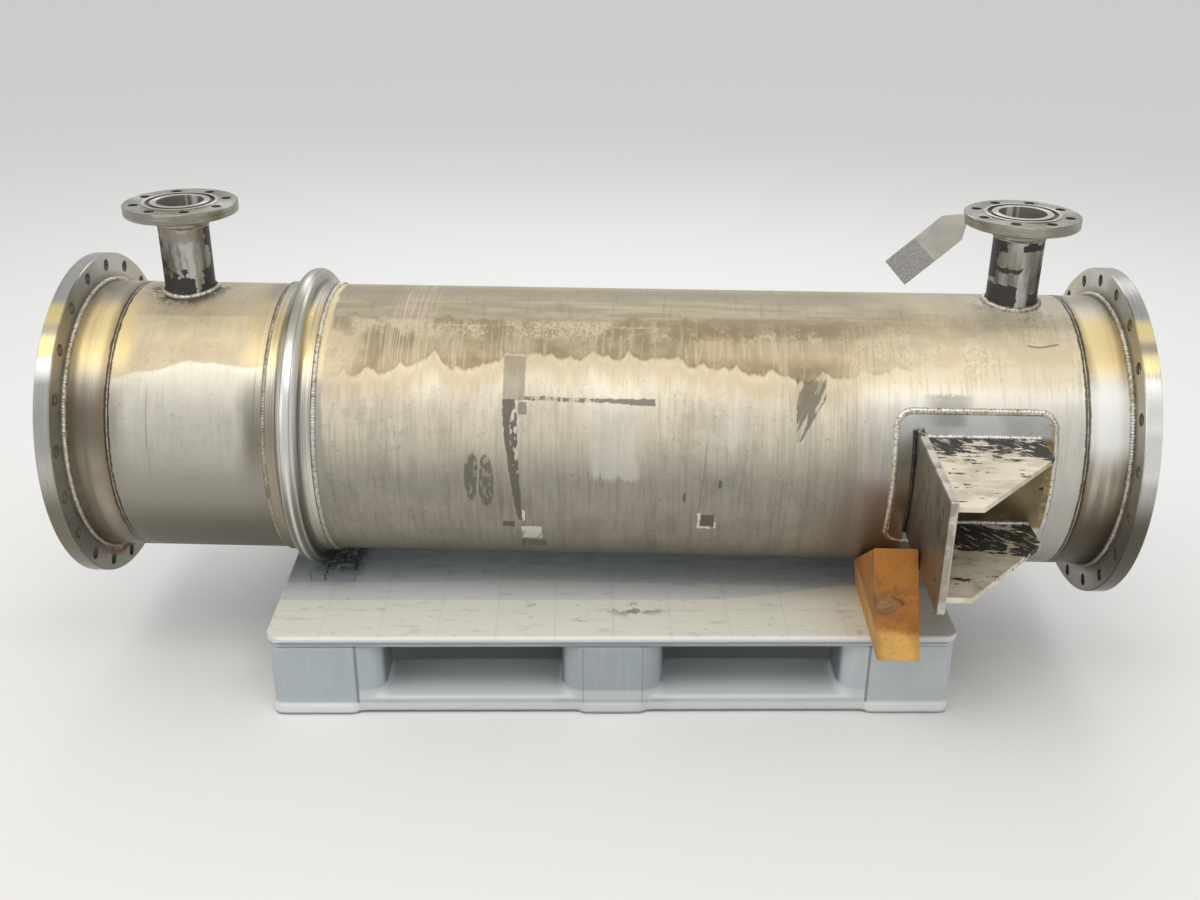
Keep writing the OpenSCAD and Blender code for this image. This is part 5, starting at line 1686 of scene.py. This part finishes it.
for flank, word in ((-1, "front"), (1, "back")):
    plate_bottom, plate_top = plate_low.z + 0.004, plate_high.z - 0.004
    left_run = upright_run(LUG_X - 0.0015, plate_bottom, plate_top, flank)
    runs = [upright_run(LUG_BACK_X + 0.0015, plate_bottom, plate_top, flank)]
    for level in ("upper", "lower"):
        low, high = corners(f"lug_gusset_{level}_{word}")
        near_y = sqrt(PAD_R ** 2 - (low.z - AXIS_Z) ** 2) + 0.004
        far_y = max(-low.y, high.y) - 0.006
        for z in (low.z - 0.0012, high.z + 0.0012):
            runs.append(level_run(LUG_BACK_X + 0.004, high.x - 0.003, z, flank))
            runs.append(outward_run(LUG_BACK_X + 0.0012, z, near_y, far_y, flank))
    outline = pad_path(flank, 0.0034, SHELL_R + 0.0002)
    bead(f"lug_bead_{word}", runs, 0.0046, lug_weld, ripple=0.0046, height=0.30,
         wander=0.0009, seed=53.0 + flank)
    bead(f"lug_plate_bead_{word}", [left_run], 0.0048, black_weld, ripple=0.0046, height=0.30,
         wander=0.0012, seed=57.0 + flank)
    bead(f"pad_bead_{word}", [outline], 0.0062, pad_weld, ripple=0.0060, height=0.13,
         wander=0.0006, seed=63.0 + flank, stands_for=[f"lug_pad_weld_{word}"])

# %% [markdown]
# ## Tube ends and rim threads
#
# Each tube is welded into the tubesheet with a small ring. There are 169 at each end on
# a triangular pitch, so one tree lays out the pitch, drops the points outside the tube
# field and puts a ring on the rest. The rim holes are threaded, which shows as ribs
# inside them, so a second tree puts a screw thread in each hole.

# %% Tube end rings
TUBE_R = 0.0125
TUBE_PITCH = 0.032
TUBE_ROW = TUBE_PITCH * sin(radians(60))
SHELL_WALL, FIELD_MARGIN = 0.005, 0.009
TUBE_FIELD = SHELL_R - SHELL_WALL - FIELD_MARGIN - TUBE_R
FIELD_ROWS = 17
END_RING_WIRE = 0.0011


def dot_mesh():
    """The least mesh that a tree which ignores its input can be given."""
    return path_mesh([([(0, 0, 0), (0, 0, 0.001)], False)])


def tube_end_tree():
    tree, given = geometry_tree("tube_ends", [
        ("Pitch", "Float"), ("Row", "Float"), ("Field", "Float"), ("Ring Radius", "Float"),
        ("Wire Radius", "Float"), ("Across", "Int"), ("Rows", "Int"), ("Face", "Float"),
        ("Height", "Float"), ("Material", "Material"),
    ])
    size_x = (given["Across"] - 1) * given["Pitch"]
    size_y = (given["Rows"] - 1) * given["Row"]
    grid = tree.node("GeometryNodeMeshGrid", None, {
        "Size X": size_x, "Size Y": size_y,
        "Vertices X": given["Across"], "Vertices Y": given["Rows"]})
    place = tree.node("ShaderNodeSeparateXYZ", None, {0: tree.node("GeometryNodeInputPosition")})
    row = (place.other(1) / given["Row"]).maths("ROUND")
    odd = row.size().maths("MODULO", 2.0)
    half_pitch = odd * given["Pitch"] * 0.5
    shift = tree.node("ShaderNodeCombineXYZ", None, {0: half_pitch, 1: 0.0, 2: 0.0})
    points = tree.node("GeometryNodeSetPosition", None, {"Geometry": grid, "Offset": shift})
    reach = tree.vector("LENGTH", tree.node("GeometryNodeInputPosition"))
    points = tree.node("GeometryNodeDeleteGeometry", None, {
        "Geometry": points, "Selection": reach.maths("GREATER_THAN", given["Field"])})
    ring = tree.node("GeometryNodeCurvePrimitiveCircle", None, {
        "Resolution": 24, "Radius": given["Ring Radius"]})
    wire = tree.node("GeometryNodeCurvePrimitiveCircle", None, {
        "Resolution": 6, "Radius": given["Wire Radius"]})
    ring = tree.node("GeometryNodeCurveToMesh", None, {"Curve": ring, "Profile Curve": wire})
    rings = tree.node("GeometryNodeInstanceOnPoints", None, {"Points": points, "Instance": ring})
    centre = tree.node("ShaderNodeCombineXYZ", None, {
        0: given["Face"], 1: 0.0, 2: given["Height"]})
    rings = tree.node("GeometryNodeTransform", None, {
        "Geometry": rings, "Rotation": (0.0, pi / 2, 0.0), "Translation": centre})
    turned = tree.node("GeometryNodeRealizeInstances", None, {0: rings})
    return end_tree(tree, turned, given["Material"])


TUBE_ENDS = tube_end_tree()
for side, word in SIDES:
    rings = grown(f"tube_end_beads_{word}", dot_mesh(), TUBE_ENDS, {
        "Pitch": TUBE_PITCH, "Row": TUBE_ROW, "Field": TUBE_FIELD + 0.0001,
        "Ring Radius": TUBE_R - 0.0004, "Wire Radius": END_RING_WIRE,
        "Across": FIELD_ROWS, "Rows": FIELD_ROWS, "Face": side * (SHEET_FACE - 0.0014),
        "Height": AXIS_Z, "Material": tarnished_weld,
    })
    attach(rings, "root")

# %% Threads in the rim holes
RIM_HOLES = 20
RIM_HOLE_CIRCLE = 0.281
RIM_HOLE_R = 0.011
THREAD_PITCH = 0.003
RIB_SHARE = 0.42  # the radius of a rib, as a share of the pitch
CLEAR_OF_BACK, CLEAR_OF_BOTH = 0.0035, 0.009


def thread_tree():
    tree, given = geometry_tree("rim_threads", [
        ("Hole Radius", "Float"), ("Thread Pitch", "Float"), ("Depth", "Float"),
        ("Circle Radius", "Float"), ("Holes", "Int"), ("Back", "Float"), ("Height", "Float"),
        ("Material", "Material"),
    ])
    turns = given["Depth"] / given["Thread Pitch"]
    spiral = tree.node("GeometryNodeCurveSpiral", None, {
        "Resolution": 24, "Rotations": turns, "Start Radius": given["Hole Radius"],
        "End Radius": given["Hole Radius"], "Height": given["Depth"]})
    rib = tree.node("GeometryNodeCurvePrimitiveCircle", None, {
        "Resolution": 4, "Radius": given["Thread Pitch"] * RIB_SHARE})
    thread = tree.node("GeometryNodeCurveToMesh", None, {
        "Curve": spiral, "Profile Curve": rib, "Fill Caps": True})
    circle = tree.node("GeometryNodeMeshCircle", None, {
        "Vertices": given["Holes"], "Radius": given["Circle Radius"]})
    threads = tree.node("GeometryNodeInstanceOnPoints", None, {
        "Points": circle, "Instance": thread})
    threads = tree.node("GeometryNodeTransform", None, {
        "Geometry": threads, "Rotation": (0.0, 0.0, pi / RIM_HOLES)})
    place = tree.node("ShaderNodeCombineXYZ", None, {
        0: given["Back"], 1: 0.0, 2: given["Height"]})
    threads = tree.node("GeometryNodeTransform", None, {
        "Geometry": threads, "Rotation": (0.0, pi / 2, 0.0), "Translation": place})
    return end_tree(tree, threads, given["Material"])


THREADS = thread_tree()
thread_depth = SHEET_FACE - SHEET_BACK - CLEAR_OF_BOTH
for side, word in SIDES:
    inner_end = side * (SHEET_BACK + CLEAR_OF_BACK)
    start = inner_end if side > 0 else inner_end - thread_depth
    threads = grown(f"rim_threads_{word}", dot_mesh(), THREADS, {
        "Hole Radius": RIM_HOLE_R + 0.0002, "Thread Pitch": THREAD_PITCH, "Depth": thread_depth,
        "Circle Radius": RIM_HOLE_CIRCLE, "Holes": RIM_HOLES, "Back": start, "Height": AXIS_Z,
        "Material": tarnished_weld,
    })
    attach(threads, "root")

# %% [markdown]
# ## Softened plates, timber and pallet feet
#
# Flame-cut and sawn edges are never quite sharp, and a thin bright line along them is
# what makes a plate look real. A copy of the CAD solid is merged, because a CAD mesh is
# loose triangles, and a Bevel modifier rounds it. The pallet's feet are moulded, with a
# round inside every corner too, which a bevel can't give: a voxel remesh and a little
# smoothing melt the solids together.


# %% Softened copies
def merged_copy(node, name):
    """A copy of a CAD node with its doubles merged, as a new object."""
    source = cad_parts[node]
    mesh = source.data.copy()
    mesh.name = name
    work = bmesh.new()
    work.from_mesh(mesh)
    bmesh.ops.remove_doubles(work, verts=work.verts, dist=2e-5)
    bmesh.ops.dissolve_limit(work, angle_limit=radians(0.4), verts=work.verts, edges=work.edges)
    work.to_mesh(mesh)
    work.free()
    if mesh.has_custom_normals:
        mesh.attributes.remove(mesh.attributes["custom_normal"])
    piece = bpy.data.objects.new(name, mesh)
    piece.matrix_world = source.matrix_world
    scene.collection.objects.link(piece)
    return piece


def softened(node, name, material, width, segments=3):
    """A copy of a CAD node with rounded edges, in place of the node."""
    piece = merged_copy(node, name)
    piece.data.materials.clear()
    piece.data.materials.append(material)
    piece.data.shade_smooth()
    bevel = piece.modifiers.new("round", "BEVEL")
    bevel.width, bevel.segments = width, segments
    bevel.limit_method, bevel.angle_limit = "ANGLE", radians(35)
    bevel.harden_normals = True
    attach(piece, "root")
    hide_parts(node)
    print(name, "softened by", round(width * 1000, 1), "mm")
    return piece


CUT_EDGE, SAWN_EDGE, SHEET_EDGE = 0.0012, 0.0018, 0.0006
for word in ("front", "back"):
    softened(f"lug_plate_{word}", f"lug_plate_softened_{word}", plate_steel,
             CUT_EDGE)
    softened(f"lug_gusset_upper_{word}", f"upper_gusset_{word}", upper_gusset_steel,
             CUT_EDGE)
    softened(f"lug_gusset_lower_{word}", f"lower_gusset_{word}", lower_gusset_steel,
             CUT_EDGE)
    softened(f"wedge_{word}", f"timber_wedge_{word}", timber, SAWN_EDGE)
softened("plate_holder", "name_plate_holder", holder_finish, SHEET_EDGE, 2)

# %% Pallet feet
VOXEL = {"front": 0.0032, "middle": 0.005, "back": 0.004}
MELT_STEPS = 3


def melted(node, name, material, voxel):
    """A copy of a CAD node whose corners are round inside and out, in place of the node."""
    piece = merged_copy(node, name + "_source")
    remesh = piece.modifiers.new("voxels", "REMESH")
    remesh.mode, remesh.voxel_size = "VOXEL", voxel
    smooth = piece.modifiers.new("melt", "SMOOTH")
    smooth.factor, smooth.iterations = 0.5, MELT_STEPS
    seen_by = bpy.context.evaluated_depsgraph_get()
    mesh = bpy.data.meshes.new_from_object(piece.evaluated_get(seen_by))
    bpy.data.objects.remove(piece)
    mesh.materials.clear()
    mesh.materials.append(material)
    mesh.shade_smooth()
    mesh.name = name
    made = bpy.data.objects.new(name, mesh)
    scene.collection.objects.link(made)
    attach(made, "root")
    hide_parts(node)
    print(name, len(mesh.polygons) * 2, "triangles")
    return made


for word in ("front", "middle", "back"):
    melted(f"pallet_feet_{word}", f"pallet_runner_{word}", plastic, VOXEL[word])
